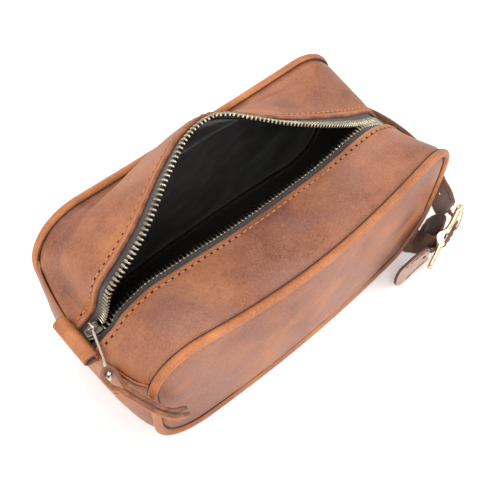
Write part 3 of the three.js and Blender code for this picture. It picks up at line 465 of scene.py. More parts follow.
def thread(name, a, b):
    t = Tree(name)
    w = t.nt.nodes.new("ShaderNodeTexWave")
    w.inputs["Scale"].default_value = 900
    w.inputs["Distortion"].default_value = 1.0
    t.link(t.coord.outputs["Object"], w.inputs["Vector"])
    col = t.mix(w.outputs["Fac"], a, b)
    t.link(col, t.bsdf.inputs["Base Color"])
    t.bsdf.inputs["Roughness"].default_value = 0.7
    t.link(t.bump(w.outputs["Fac"], 0.6, 0.0002), t.bsdf.inputs["Normal"])
    return t.mat


M_BODY = leather("leather_body", rgb(118, 68, 48), rgb(158, 98, 68), rgb(190, 122, 76), mauve=rgb(134, 88, 76))
M_FRONT = leather("leather_front", rgb(124, 74, 56), rgb(160, 102, 76), rgb(186, 124, 84), mauve=rgb(142, 98, 88))
M_PIPE = leather("leather_piping", rgb(138, 76, 42), rgb(178, 106, 60), rgb(204, 134, 82), rough=(0.4, 0.55), worn=0.2)
M_TAB = leather("leather_tab", rgb(136, 76, 42), rgb(170, 102, 60), rgb(198, 130, 84), rough=(0.42, 0.58), worn=0.2)
M_PULL = leather("leather_pull", rgb(116, 66, 44), rgb(150, 90, 62), rgb(180, 118, 82), rough=(0.5, 0.65), worn=0.3)
M_STRAP = leather("leather_strap", rgb(80, 44, 30), rgb(112, 66, 44), rgb(146, 94, 64), rough=(0.42, 0.58), worn=0.3)
# darker, greyer copy of leather_strap: painted shade where it dresses the buckle strap; it also colours the tail's
# edges
M_STRAP_DK = leather("leather_strap_dark", rgb(56, 38, 32), rgb(78, 56, 47), rgb(104, 78, 66), rough=(0.55, 0.7), worn=0.2)
M_SUEDE = suede("suede_back", rgb(92, 70, 62), rgb(122, 97, 87))
# paler, lit copy of suede_back: painted light on the strap's tail
M_SUEDE_LIT_COPY = suede("suede_lit_copy", rgb(150, 112, 94), rgb(190, 150, 128))
M_SUEDE_DK = suede("suede_dark", rgb(34, 20, 17), rgb(58, 38, 32))
M_EDGE = edge_mat("cut_edge", rgb(104, 58, 38), rgb(152, 98, 66))
M_EDGE_DK = edge_mat("cut_edge_dark", rgb(92, 52, 34), rgb(138, 86, 58))
M_TAPE = herringbone("zip_tape_weave")
M_LINING = cloth_lining("lining_cloth", rgb(15, 11, 10), rgb(30, 22, 19))
M_BRASS = metal("antique_brass", rgb(188, 178, 156), rgb(78, 68, 56), rough=(0.2, 0.36), tarnish=0.5)
M_SLIDER = metal("dark_slider", rgb(150, 140, 122), rgb(46, 38, 32), rough=(0.26, 0.42), tarnish=0.7)
M_GOLD = metal("champagne_gold", rgb(226, 208, 170), rgb(150, 128, 92), rough=(0.22, 0.34), tarnish=0.25)
M_STEEL = metal("pale_steel", rgb(226, 214, 204), rgb(140, 124, 112), rough=(0.16, 0.3), tarnish=0.3)
M_THREAD = thread("saddle_thread", rgb(214, 138, 78), rgb(168, 100, 52))
# near-black discs at the needle holes: painted shade inside each hole
M_HOLE_SHADE = edge_mat("needle_hole_shade", rgb(26, 12, 7), rgb(44, 24, 14))
M_GROOVE = edge_mat("seam_shadow", rgb(58, 30, 17), rgb(92, 50, 30))


# ------------------------------------------------------------------ mesh helpers
def make(name, verts, faces, mats, body=None, weights=None, flap=None, uv=None, fmat=None, smooth_=True):
    me = bpy.data.meshes.new(name)
    me.from_pydata([tuple(float(c) / 1000.0 for c in v) for v in verts], [], [tuple(int(i) for i in f) for f in faces])
    if uv is not None:
        layer = me.uv_layers.new(name="UVMap")
        idx = np.zeros(len(me.loops), np.int32)
        me.loops.foreach_get("vertex_index", idx)
        layer.data.foreach_set("uv", np.asarray(uv, np.float32)[idx].ravel())
    bm = bmesh.new()
    bm.from_mesh(me)
    bmesh.ops.recalc_face_normals(bm, faces=bm.faces)
    bm.to_mesh(me)
    bm.free()
    for m in (mats if isinstance(mats, (list, tuple)) else [mats]):
        me.materials.append(m)
    if fmat is not None:
        me.polygons.foreach_set("material_index", np.asarray(fmat, np.int32))
    if smooth_:
        me.polygons.foreach_set("use_smooth", [True] * len(me.polygons))
    me.update()
    o = bpy.data.objects.new(name, me)
    bpy.context.scene.collection.objects.link(o)
    if flap:
        a, b = "shell", flap
        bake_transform(o, a, b, start=(0, 0, 0), end=(0, 0, 1))
        at = o.data.attributes["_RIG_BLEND"]
        at.data.foreach_set("value", np.asarray(weights, np.float32))
    elif body:
        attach(o, body)
    return o


def grid_normals(P):
    du, dv = np.gradient(P, axis=0), np.gradient(P, axis=1)
    n = np.cross(du, dv)
    return n / np.maximum(np.linalg.norm(n, axis=2, keepdims=True), 1e-9)


def slab(P, N, t, round_=0.45, rim=True):
    """closed sheet of thickness t on grid P[nu,nv,3] with rounded edges.
    Returns verts, faces, source index (i, j) of each vertex, and a 0/1/2 tag per face (top, bottom, edge)."""
    nu, nv = P.shape[:2]
    T = (t if np.ndim(t) else np.full((nu, nv), t))[..., None]
    top, bot = P + N * T / 2, P - N * T / 2
    verts = list(top.reshape(-1, 3)) + list(bot.reshape(-1, 3))
    src = [(i, j) for i in range(nu) for j in range(nv)] * 2
    faces, tags = [], []
    a = lambda i, j: i * nv + j
    b = lambda i, j: nu * nv + i * nv + j
    for i in range(nu - 1):
        for j in range(nv - 1):
            faces.append((a(i, j), a(i + 1, j), a(i + 1, j + 1), a(i, j + 1))); tags.append(0)
            faces.append((b(i, j), b(i, j + 1), b(i + 1, j + 1), b(i + 1, j))); tags.append(1)
    loop = [(i, 0) for i in range(nu)] + [(nu - 1, j) for j in range(1, nv)] + [(i, nv - 1) for i in range(nu - 2, -1, -1)] + [(0, j) for j in range(nv - 2, 0, -1)]
    cen = len(verts)
    for (i, j) in loop:
        ii = 1 if i == 0 else (nu - 2 if i == nu - 1 else i)
        jj = 1 if j == 0 else (nv - 2 if j == nv - 1 else j)
        d = unit(P[i, j] - P[ii, jj])
        verts.append(P[i, j] + d * float(T[i, j, 0]) * round_)
        src.append((i, j))
    L = len(loop)
    for k in range(L):
        (i0, j0), (i1, j1) = loop[k], loop[(k + 1) % L]
        m0, m1 = cen + k, cen + (k + 1) % L
        faces.append((a(i0, j0), a(i1, j1), m1, m0)); tags.append(2)
        faces.append((m0, m1, b(i1, j1), b(i0, j0))); tags.append(2)
    return verts, faces, src, tags


def catmull(pts, n):
    """points at n+1 even steps of a smooth curve through pts (chord-length spaced, end tangents natural)"""
    P = np.asarray(pts, float)
    d = np.sqrt(np.linalg.norm(np.diff(P, axis=0), axis=1) + 1e-9)
    t = np.concatenate([[0], np.cumsum(d)])
    m = np.zeros_like(P)
    for i in range(len(P)):
        if 0 < i < len(P) - 1:
            a, b = t[i] - t[i - 1], t[i + 1] - t[i]
            m[i] = ((P[i] - P[i - 1]) / a * b + (P[i + 1] - P[i]) / b * a) / (a + b)
    m[0] = (P[1] - P[0]) / (t[1] - t[0]) * 1.5 - m[1] * 0.5
    m[-1] = (P[-1] - P[-2]) / (t[-1] - t[-2]) * 1.5 - m[-2] * 0.5
    fine = []
    for i in range(len(P) - 1):
        h = t[i + 1] - t[i]
        for s in np.linspace(0, 1, 24, endpoint=False):
            h00, h10 = 2 * s**3 - 3 * s**2 + 1, s**3 - 2 * s**2 + s
            h01, h11 = -2 * s**3 + 3 * s**2, s**3 - s**2
            fine.append(h00 * P[i] + h10 * h * m[i] + h01 * P[i + 1] + h11 * h * m[i + 1])
    fine.append(P[-1])
    fine = np.array(fine)
    L = np.concatenate([[0], np.cumsum(np.linalg.norm(np.diff(fine[:, :3], axis=0), axis=1))])
    want = np.linspace(0, L[-1], n + 1)
    return np.stack([np.interp(want, L, fine[:, c]) for c in range(P.shape[1])], axis=1)


def strap_line(pts, n):
    """pts: [centre, width direction]; returns list of (p, w, nrm)"""
    both = np.array([np.concatenate([p, unit(w) * 100]) for p, w in pts])
    # space by position only
    c = catmull(both, n)
    p, w = c[:, :3], c[:, 3:]
    tan = np.gradient(p, axis=0)
    out = []
    for i in range(len(p)):
        t = unit(tan[i])
        wi = w[i] - t * w[i].dot(t)
        wi = unit(wi)
        out.append((p[i], wi, unit(np.cross(t, wi))))
    return out


def strap_mesh(st, hw, ht, across=10, dome=0.0, wave=0.0):
    """rounded-edge strap through stations (p, w, n); hw may be a list. Returns verts, faces, tags (0 top +n, 1 bottom, 2 edge), uv"""
    K = len(st)
    hws = hw if np.ndim(hw) else [hw] * K
    verts, faces, tags, uv = [], [], [], []
    xs = [-1 + 2 * i / across for i in range(across + 1)]
    sec = [(x, 1.0, 0) for x in xs] + [(1, 0.38, 2), (1, -0.38, 2)] + [(x, -1.0, 1) for x in reversed(xs)] + [(-1, -0.38, 2), (-1, 0.38, 2)]
    m = len(sec)
    L = 0.0
    for k, (p, w, n) in enumerate(st):
        if k:
            L += np.linalg.norm(p - st[k - 1][0])
        for j, (x, y, tag) in enumerate(sec):
            edge = abs(x) > 0.999
            xx = x * (hws[k] - (0.0 if tag == 2 else ht * 0.45 if edge else 0.0))
            if not edge:
                xx = x * (hws[k] - ht * 0.45)
            yy = y * ht * (1 + dome * (1 - x * x)) if tag != 2 else y * ht
            jit = wave * pn(p + w * xx, 9.0, 3.1)
            verts.append(p + w * xx + n * (yy + jit))
            uv.append((L, x * hws[k]))
    for k in range(K - 1):
        for j in range(m):
            a, b = k * m + j, k * m + (j + 1) % m
            faces.append((a, b, b + m, a + m))
            t0, t1 = sec[j][2], sec[(j + 1) % m][2]
            tags.append(t0 if t0 == t1 else 2)
    for base, rev in ((0, True), ((K - 1) * m, False)):
        c = len(verts)
        verts.append(st[0 if rev else -1][0]); uv.append((0, 0))
        for j in range(m):
            f = (base + j, base + (j + 1) % m, c)
            faces.append(f[::-1] if rev else f); tags.append(2)
    return verts, faces, tags, uv


def tube(pts, radii, seg=12, closed=False, flat=None, nref=None):
    """round bar through pts; flat=(rw, rn) scales along the reference side and normal"""
    P = np.asarray(pts, float)
    K = len(P)
    R = radii if np.ndim(radii) else [radii] * K
    if closed:
        tan = np.array([unit(P[(i + 1) % K] - P[i - 1]) for i in range(K)])
    else:
        tan = np.array([unit(P[min(i + 1, K - 1)] - P[max(i - 1, 0)]) for i in range(K)])
    n = unit(nref if nref is not None else (np.cross(tan[0], [0, 0, 1]) if abs(tan[0][2]) < 0.9 else np.cross(tan[0], [1, 0, 0])))
    verts, faces = [], []
    for i in range(K):
        n = unit((nref if nref is not None else n) - tan[i] * (nref if nref is not None else n).dot(tan[i]))
        b = np.cross(tan[i], n)
        fx, fy = flat if flat else (1, 1)
        for j in range(seg):
            a = 2 * math.pi * j / seg
            verts.append(P[i] + (b * math.cos(a) * fx + n * math.sin(a) * fy) * R[i])
    for i in range(K if closed else K - 1):
        for j in range(seg):
            a, b2 = i * seg + j, i * seg + (j + 1) % seg
            c, d = ((i + 1) % K) * seg + (j + 1) % seg, ((i + 1) % K) * seg + j
            faces.append((a, b2, c, d))
    if not closed:
        for base, rev, pt in ((0, True, P[0] - tan[0] * R[0] * 0.25), ((K - 1) * seg, False, P[-1] + tan[-1] * R[-1] * 0.25)):
            c = len(verts)
            verts.append(pt)
            for j in range(seg):
                f = (base + j, base + (j + 1) % seg, c)
                faces.append(f[::-1] if rev else f)
    return verts, faces


def merge(parts):
    V, F, G = [], [], []
    for k, part in enumerate(parts):
        o = len(V)
        V += list(part[0])
        F += [tuple(i + o for i in f) for f in part[1]]
        G += [part[2] if len(part) > 2 else 0] * len(part[1])
    return V, F, G


def stitch(p, t, n, length=3.3, r=0.42, sink=0.05):
    """one thread stitch lying on the surface, its ends diving into their holes"""
    t, n = unit(t), unit(n)
    pts, rad = [], []
    for s in np.linspace(-1, 1, 9):
        lift = r * 0.75 * (1 - abs(s) ** 5) - sink - (0.5 if abs(s) > 0.99 else 0)
        pts.append(p + t * s * length / 2 + n * lift)
        rad.append(r * (1.0 - 0.45 * abs(s) ** 6))
    return tube(pts, rad, 7, nref=n, flat=(1.25, 0.8))


# a near-black disc sunk into a needle hole: painted shade of the hole
def hole_shade_disc(p, n, r=0.5):
    n = unit(n)
    a = unit(np.cross(n, [0.3, 0.9, 0.2]))
    b = np.cross(n, a)
    V = [p + n * 0.07] + [p + n * 0.03 + (a * math.cos(x) + b * math.sin(x)) * r for x in np.linspace(0, 2 * math.pi, 9)[:-1]] + [p - n * 0.4]
    F = [(0, 1 + i, 1 + (i + 1) % 8) for i in range(8)] + [(9, 1 + (i + 1) % 8, 1 + i) for i in range(8)]
    return V, F


def prism(outline, z0, z1, mat4, bevel=0.35, seg=2):
    bm = bmesh.new()
    vs = [bm.verts.new((x, y, z0)) for x, y in outline]
    f = bm.faces.new(vs)
    r = bmesh.ops.extrude_face_region(bm, geom=[f])
    up = [e for e in r["geom"] if isinstance(e, bmesh.types.BMVert)]
    bmesh.ops.translate(bm, verts=up, vec=(0, 0, z1 - z0))
    bmesh.ops.recalc_face_normals(bm, faces=bm.faces)
    if bevel:
        sharp = [e for e in bm.edges if e.calc_face_angle(0) > 0.6]
        bmesh.ops.bevel(bm, geom=sharp, offset=bevel, segments=seg, profile=0.6, affect="EDGES", clamp_overlap=True)
    bm.verts.ensure_lookup_table()
    V = [np.array((mat4 @ np.array([*v.co, 1.0]))[:3]) for v in bm.verts]
    F = [tuple(v.index for v in f.verts) for f in bm.faces]
    bm.free()
    return V, F


def frame4(o, ex, ez):
    ex, ez = unit(ex), unit(ez)
    ey = unit(np.cross(ez, ex))
    m = np.eye(4)
    m[:3, 0], m[:3, 1], m[:3, 2], m[:3, 3] = ex, ey, ez, o
    return m


# ------------------------------------------------------------------ panels
def edge_dist(x, z):
    """distance in mm from the outline of the panel (seam centre), inwards"""
    cz = BEAD_R + HEIGHT / 2
    ax, az = abs(x), abs(z - cz)
    bx, bz = LENGTH / 2 - CORNER_R, HEIGHT / 2 - CORNER_R
    if ax > bx and az > bz:
        return CORNER_R - math.hypot(ax - bx, az - bz)
    return min(LENGTH / 2 - ax, HEIGHT / 2 - az)


def panel(side, name, mat):
    inset = 1.2
    b, r = HEIGHT / 2 - inset, CORNER_R - inset
    vs = []
    for i in range(15):
        vs.append((b - r + r * math.sin(math.radians(90 * (1 - i / 15)))) / b)
    vs += [(b - r) / b * (1 - 2 * i / 26) for i in range(27)]
    vs += [-v for v in reversed(vs[:15])]
    us = np.sin(np.linspace(-1, 1, 93) * math.pi / 2 * 0.86) / math.sin(math.pi / 2 * 0.86)
    P = np.zeros((len(us), len(vs), 3))
    for i, u in enumerate(us):
        for j, v in enumerate(vs):
            p, _ = panel_point(side, inset, 0, float(u), float(v))
            z0 = BEAD_R + HEIGHT / 2 + v * b
            e = edge_dist(p[0], z0)
            # sewn edge: the skin turns in to the seam, with small puckers that fade out
            tuck = -1.5 * (1 - smooth(e / 7.0))
            pucker = 0.34 * (1 - smooth((e - 1) / 11.0)) * pn(p, 6.5, 4.0)
            soft = 0.95 * pn(p, 46, 1.0 + side) * smooth(e / 18) + 0.38 * pn(p, 17, 2.0) * smooth(e / 10) + 0.1 * pn(p, 6, 5.0)
            p[1] += side * (tuck + pucker + soft)
            P[i, j] = p
    N = grid_normals(P)
    V, F, _, tags = slab(P, N, SKIN)
    o = make(name, V, F, [mat, M_SUEDE_DK, M_EDGE], body="shell", fmat=tags)
    return o


o = panel(-1, "skin_front", M_FRONT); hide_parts("front_panel")
# which side of the slab faces out decides the finish
def outward_first(o, centre):
    me = o.data
    c = Vector([k / 1000 for k in centre])
    for p in me.polygons:
        if p.material_index == 2:
            continue
        p.material_index = 0 if p.normal.dot(p.center - c) > 0 else 1
outward_first(o, (0, 0, 55))
o = panel(1, "skin_back", M_BODY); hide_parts("back_panel"); outward_first(o, (0, 0, 55))


# ------------------------------------------------------------------ piping
def ring_pts(n_flat=52, n_corner=18, n_side=12):
    a, b, r, cz = LENGTH / 2, HEIGHT / 2, CORNER_R, BEAD_R + HEIGHT / 2
    pts = []
    def line(x0, z0, x1, z1, n):
        for i in range(n):
            pts.append((x0 + (x1 - x0) * i / n, z0 + (z1 - z0) * i / n))
    def arc(cx, cz2, a0, a1, n):
        for i in range(n):
            t = a0 + (a1 - a0) * i / n
            pts.append((cx + r * math.cos(t), cz2 + r * math.sin(t)))
    line(-a + r, cz + b, a - r, cz + b, n_flat)
    arc(a - r, cz + b - r, math.pi / 2, 0, n_corner)
    line(a, cz + b - r, a, cz - b + r, n_side)
    arc(a - r, cz - b + r, 0, -math.pi / 2, n_corner)
    line(a - r, cz - b, -a + r, cz - b, n_flat)
    arc(-a + r, cz - b + r, -math.pi / 2, -math.pi, n_corner)
    line(-a, cz - b + r, -a, cz + b - r, n_side)
    arc(-a + r, cz + b - r, math.pi, math.pi / 2, n_corner)
    return pts


for side, nm in ((-1, "front"), (1, "back")):
    c = [seam(side, x, z) for x, z in ring_pts()]
    n = len(c)
    verts, faces, SEC = [], [], 20
    for i in range(n):
        t = unit(c[(i + 1) % n] - c[i - 1])
        yy = vec(0, side, 0); yy = unit(yy - t * yy.dot(t))
        out = unit(np.cross(yy, t)) * -side
        if out.dot(c[i] - vec(0, c[i][1], BEAD_R + HEIGHT / 2)) < 0:
            out = -out
        for j in range(SEC):
            a = 2 * math.pi * j / SEC
            d = yy * math.sin(a) + out * math.cos(a)
            r = BEAD_R + 0.07 * pn(c[i] + d * 2, 5.0, 7.0 + side) + 0.05 * pn(c[i] + d * 2, 2.2, 1.0)
            # pinched into the seam on the side that faces the inside of the bag
            inward = unit(-yy - out)
            k = max(0.0, d.dot(inward))
            verts.append(c[i] + d * (r + 1.1 * k ** 6))
    for i in range(n):
        for j in range(SEC):
            faces.append((i * SEC + j, i * SEC + (j + 1) % SEC, ((i + 1) % n) * SEC + (j + 1) % SEC, ((i + 1) % n) * SEC + j))
    o = make(f"piping_{nm}", verts, faces, M_PIPE, body="shell")
    o.data.materials.append(M_FRONT)
    o.data.materials.append(M_LINING)
    for p in o.data.polygons:
        k = c[min(p.index // SEC, n - 1)]
        a = 2 * math.pi * (p.index % SEC + 0.5) / SEC
        if -(math.sin(a) + math.cos(a)) / math.sqrt(2) > 0.5:      # the side turned into the bag
            p.material_index = 2
            continue
        if side < 0 and k[2] < 44.0 and k[0] > -88.0:
            p.material_index = 1
    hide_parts(f"{nm}_piping", f"{nm}_piping_cord")
    parts = []
    for which in (0, 1):
        line, thin = [], []
        for i in range(n):
            t = unit(c[(i + 1) % n] - c[i - 1])
            yy = vec(0, side, 0); yy = unit(yy - t * yy.dot(t))
            out = unit(np.cross(yy, t)) * -side
            if out.dot(c[i] - vec(0, c[i][1], BEAD_R + HEIGHT / 2)) < 0:
                out = -out
            d = unit(-out * 0.97 + yy * 0.25) if which == 0 else unit(-yy * 0.97 + out * 0.25)
            q = c[i] + d * (BEAD_R + 0.25)
            if q[2] < 0.9:
                q[2] = 0.9
            # along the lower edge the two leathers lie flat together and the groove closes
            low = smooth(clamp((52.0 - c[i][2]) / 16.0, 0, 1)) * smooth(clamp((c[i][0] + 96.0) / 18.0, 0, 1)) if side < 0 else 0.0
            thin.append(low)
            line.append(q - d * (0.55 * low))
        parts.append(tube(line, [(0.5 + 0.12 * pn(q, 8, 2.0 + which)) * (1 - 0.72 * f) for q, f in zip(line, thin)], 8, closed=True))
    V, F, _ = merge(parts)
    make(f"seam_groove_{nm}", V, F, M_GROOVE, body="shell")


# ------------------------------------------------------------------ gusset
def gusset():
    vs = np.sin(np.linspace(-1, 1, 43) * math.pi / 2 * 0.8) / math.sin(math.pi / 2 * 0.8)
    P = np.zeros((len(GP), len(vs), 3))
    for i in range(len(GP)):
        for j, v in enumerate(vs):
            p, n = gusset_point(i, float(v), -2.0)
            half = DEPTH / 2
            e = (1 - abs(v)) * half
            tuck = -1.3 * (1 - smooth(e / 6.0))
            pucker = 0.3 * (1 - smooth((e - 1) / 10.0)) * pn(p, 6.5, 9.0)
            on_floor = smooth((p[2] - 1.0) / 10.0)
            soft = (1.0 * pn(p, 34, 3.0) + 0.4 * pn(p, 14, 6.0)) * smooth(e / 14) * on_floor + 0.1 * pn(p, 6, 2.0) * on_floor
            end = smooth((min(i, len(GP) - 1 - i)) / 4.0)
            P[i, j] = p + n * (tuck + pucker * on_floor + soft * end)
            if P[i, j][2] < SKIN / 2 + 0.02:
                P[i, j][2] = SKIN / 2 + 0.02
    N = grid_normals(P)
    V, F, _, tags = slab(P, N, SKIN)
    return make("skin_gusset", V, F, [M_BODY, M_SUEDE_DK, M_EDGE], body="shell", fmat=tags)


o = gusset(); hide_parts("bottom_end_gusset"); outward_first(o, (0, 0, 55))


# ------------------------------------------------------------------ the two top strips
def q_samples(n=118):
    # closer together at the ends, where the strips bend over the shoulders
    t = np.linspace(0, 1, n)
    return t + 0.045 * np.sin(2 * math.pi * t) * -1


QS = q_samples()


def open_grid(side, ds):
    """grid of the open strip; ds is a list of functions q -> k"""
    P = np.zeros((len(QS), len(ds), 3)); W = np.zeros((len(QS), len(ds)))
    for i, q in enumerate(QS):
        for j, f in enumerate(ds):
            P[i, j], W[i, j] = top_point(side, float(q), f(float(q)))
    return P, W


def up_normals(P, side):
    N = grid_normals(P)
    # the outside of a strip is the side that faces up when the bag is shut
    if N[len(N) // 8, 2][2] < 0:
        N = -N
    return N


def strip(side, nm):
    # share of the width from the piping seam to the turned edge beside the zip
    nk = 26
    ks = [-0.035] + [0.0 + (i / nk) for i in range(nk + 1)]
    fs = [(lambda q, s=s: s * share_at(side, q, EDGE)) if s <= 1 else None for s in ks]
    P, W = open_grid(side, fs)
    N = up_normals(P, side)
    for i in range(P.shape[0]):
        for j in range(P.shape[1]):
            k = ks[j]
            e = k * 48
            q = QS[i]
            endd = min(q, 1 - q) * PATH
            tuck = -1.2 * (1 - smooth(e / 5.0))
            pucker = 0.3 * (1 - smooth((e - 1) / 9.0)) * pn(P[i, j], 6.5, 12.0)
            toedge = (1 - k) * 40
            soft = (1.1 * pn(P[i, j], 30, 5.0 + side) + 0.4 * pn(P[i, j], 12, 8.0)) * smooth(e / 12) * smooth(toedge / 9) * smooth(endd / 10)
            # the leather dips a little along the stitch line and stands up on its folded edge
            groove = -0.28 * math.exp(-((toedge - 3.3) / 1.0) ** 2) + 0.25 * math.exp(-((toedge - 1.0) / 1.4) ** 2)
            P[i, j] += N[i, j] * (tuck + pucker + soft + groove)
    # folded edge: thicker beside the zip
    T = np.full(P.shape[:2], SKIN)
    for j, k in enumerate(ks):
        T[:, j] = SKIN + 0.7 * smooth((k - 0.72) / 0.06)
        # extra thickness goes downwards
    V, F, src, tags = slab(P - N * ((T - SKIN) / 2)[..., None], N, T)
    w = [W[i, j] for i, j in src]
    o = make(f"strip_{nm}", V, F, [M_BODY if side > 0 else M_FRONT, M_SUEDE_DK, M_EDGE], flap=f"{nm}_flap", weights=w, fmat=tags)
    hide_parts(f"top_strip_{nm}")
    return P, N, W, ks


STRIPS = {}
for side, nm in ((-1, "front"), (1, "back")):
    STRIPS[side] = strip(side, nm)


def surface_line(side, d, lift=0.0):
    """points, tangents, outward normals and weights along the strip at distance d from the teeth line"""
    e = 0.02
    pts, nrm, ws = [], [], []
    for q in np.linspace(0.004, 0.996, 900):
        k = share_at(side, q, d)
        p, w = top_point(side, q, k)
        a, _ = top_point(side, min(q + 1e-3, 1), k)
        b, _ = top_point(side, q, k - e)
        n = unit(np.cross(a - p, b - p))
        pts.append(p); ws.append(w); nrm.append(n)
    pts, nrm, ws = np.array(pts), np.array(nrm), np.array(ws)
    # outward when shut: first point near the left end, where the strip is nearly flat
    if nrm[450 if side < 0 else 60][2] < 0 and side < 0 or (side > 0 and nrm[60][2] < 0):
        nrm = -nrm
    L = np.concatenate([[0], np.cumsum(np.linalg.norm(np.diff(pts, axis=0), axis=1))])
    def at(s):
        p = np.array([np.interp(s, L, pts[:, c]) for c in range(3)])
        n = unit([np.interp(s, L, nrm[:, c]) for c in range(3)])
        t = unit(np.array([np.interp(s + 0.4, L, pts[:, c]) - np.interp(s - 0.4, L, pts[:, c]) for c in range(3)]))
        return p + n * lift, t, n, float(np.interp(s, L, ws))
    return at, L[-1]


for side, nm in ((-1, "front"), (1, "back")):
    at, total = surface_line(side, EDGE + 3.4, lift=SKIN / 2 - 0.28 + 0.16)
    V, F, G, W = [], [], [], []
    pitch, s = 4.55, 5.0
    while s < total - 5:
        p, t, n, w = at(s)
        v, f = stitch(p, t, n, 3.1, 0.5)
        off = len(V); V += v; F += [tuple(i + off for i in q) for q in f]; G += [0] * len(f); W += [w] * len(v)
        p2, t2, n2, w2 = at(s + pitch / 2)
        for dd in (-0.5, 0.0, 0.5):
            v, f = hole_shade_disc(p2 + t2 * dd, n2, 0.8)
            off = len(V); V += v; F += [tuple(i + off for i in q) for q in f]; G += [1] * len(f); W += [w2] * len(v)
        s += pitch
    make(f"zip_stitches_{nm}", V, F, [M_THREAD, M_HOLE_SHADE], flap=f"{nm}_flap", weights=W, fmat=G)

    # woven tape, from under the leather to the teeth
    ds = [13.0, 10.5, 8.6, 7.2, 5.8, 4.4, 3.2, 2.4]
    P, W0 = open_grid(side, [(lambda q, d=d: share_at(side, q, d + (1.4 * smooth((0.085 - q) / 0.03) if d < 6 else 0))) for d in ds])
    N = up_normals(P, side)
    for i in range(P.shape[0]):
        for j in range(P.shape[1]):
            P[i, j] += N[i, j] * (-(SKIN / 2 + 0.85) + 0.22 * pn(P[i, j], 7, 20.0))
    run_len = np.concatenate([[0], np.cumsum(np.linalg.norm(np.diff(P[:, 3], axis=0), axis=1))])
    V, F, src, tags = slab(P, N, 0.7)
    make_uv = [(run_len[i], ds[j]) for i, j in src]
    o = make(f"tape_{nm}", V, F, M_TAPE, flap=f"{nm}_flap", weights=[W0[i, j] for i, j in src], uv=make_uv)
    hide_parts(f"zip_tape_{nm}")

    # single metal teeth clamped on the tape's corded edge
    at, total = surface_line(side, 1.9, lift=-(SKIN / 2 + 0.75))
    V, F, W = [], [], []
    pitch = 2.72
    s = 12.3 + (pitch / 2 if side > 0 else 0)
    k = 0
    while s < total - 8.5:
        p, t, n, w = at(s)
        c = unit(np.cross(n, t))                       # across, towards the other row
        if c[1] * (1 if side < 0 else -1) < 0 and abs(c[1]) > 0.02 or (abs(c[1]) <= 0.02 and c[2] < 0):
            c = -c
        m = frame4(p, c, n)
        prof = [(-2.0, -0.62), (-0.9, -0.74), (0.7, -0.7), (1.2, -0.5), (2.05, -0.62), (2.3, -0.3), (2.3, 0.3), (2.05, 0.62), (1.2, 0.5), (0.7, 0.7), (-0.9, 0.74), (-2.0, 0.62)]
        v, f = prism([(x, y * 0.98) for x, y in prof], -1.15, 1.15, m, bevel=0.22, seg=1)
        off = len(V); V += v; F += [tuple(i + off for i in q) for q in f]; W += [w] * len(v)
        s += pitch
        k += 1
    o = make(f"teeth_{nm}", V, F, M_BRASS, flap=f"{nm}_flap", weights=W)
    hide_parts(f"zip_teeth_{nm}")

    # lining of the strip
    ks = [0.03 + 0.06 * i for i in range(14)]
    P, W0 = open_grid(side, [(lambda q, s=s: s * share_at(side, q, EDGE + 4)) for s in [k / 0.83 for k in ks]])
    N = up_normals(P, side)
    for i in range(P.shape[0]):
        for j in range(P.shape[1]):
            mid = math.sin(math.pi * j / (P.shape[1] - 1))
            P[i, j] += N[i, j] * (-(SKIN + 0.9) - 0.8 * mid * abs(pn(P[i, j], 15, 30.0)))
    V, F, src, tags = slab(P, N, 0.7)
    o = make(f"top_lining_{nm}", V, F, M_LINING, flap=f"{nm}_flap", weights=[W0[i, j] for i, j in src])
    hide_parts(f"lining_top_{nm}")

    # top stop: a small folded brass clip on the tape beside the last tooth
    p, t, n, w = at(total - 5.4)
    c = unit(np.cross(n, t))
    if c[1] * (1 if side < 0 else -1) < 0:
        c = -c
    v, f = prism([(-1.7, -1.5), (1.5, -1.5), (1.5, 1.5), (-1.7, 1.5)], -1.5, 1.5, frame4(p - c * 0.2, c, n), bevel=0.45, seg=3)
    o = make(f"top_stop_{nm}", v, f, M_BRASS, body="shell")
    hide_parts(f"zip_stop_{nm}")


# ------------------------------------------------------------------ lining of the main compartment
def liner():
    for side, nm in ((-1, "front"), (1, "back")):
        us, vs = np.linspace(-1, 1, 61), np.linspace(-1, 1, 33)
        P = np.zeros((61, 33, 3))
        for i, u in enumerate(us):
            for j, v in enumerate(vs):
                p, _ = panel_point(side, 5.2, -2.6, float(u), float(v))
                e = (1 - max(abs(u), abs(v)))
                p[1] -= side * (0.9 + 1.3 * pn(p, 22, 40.0 + side) + 0.5 * pn(p, 8, 3.0)) * smooth(e / 0.12)
                P[i, j] = p
        N = grid_normals(P)
        V, F, _, _ = slab(P, N, 0.7)
        o = make(f"liner_{nm}", V, F, M_LINING, body="shell")
        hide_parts(f"lining_{nm}")
    vs = np.linspace(-1, 1, 35)
    P = np.zeros((len(GP), 35, 3))
    for i in range(len(GP)):
        for j, v in enumerate(vs):
            p, n = gusset_point(i, float(v) * 0.985, 1.9)
            d = SKIN / 2 + 1.2 + 2.0 * smooth((abs(v) - 0.5) / 0.5) + (0.8 * abs(pn(p, 20, 50.0)) + 0.4 * abs(pn(p, 8, 51.0))) * smooth((1 - abs(v)) / 0.2)
            P[i, j] = p - n * d
    N = grid_normals(P)
    V, F, _, _ = slab(P, N, 0.7)
    o = make("liner_gusset", V, F, M_LINING, body="shell")
    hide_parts("lining_gusset")


liner()


# ------------------------------------------------------------------ end seams: a folded, sewn edge over each end of the zip
for sx, nm in ((-1, "left"), (1, "right")):
    pts, nr = [], []
    idx = 0 if sx > 0 else len(GP) - 1
    for v in np.linspace(-0.985, 0.985, 61):
        p, n = gusset_point(idx, float(v), -0.6)
        pts.append(p + n * 0.25 + vec(0, 0, 0.5)); nr.append(n)
    V, F = tube(pts, [0.62 + 0.08 * pn(p, 4, 3) for p in pts], 10)
    make(f"end_seam_{nm}", V, F, M_BODY, body="shell")


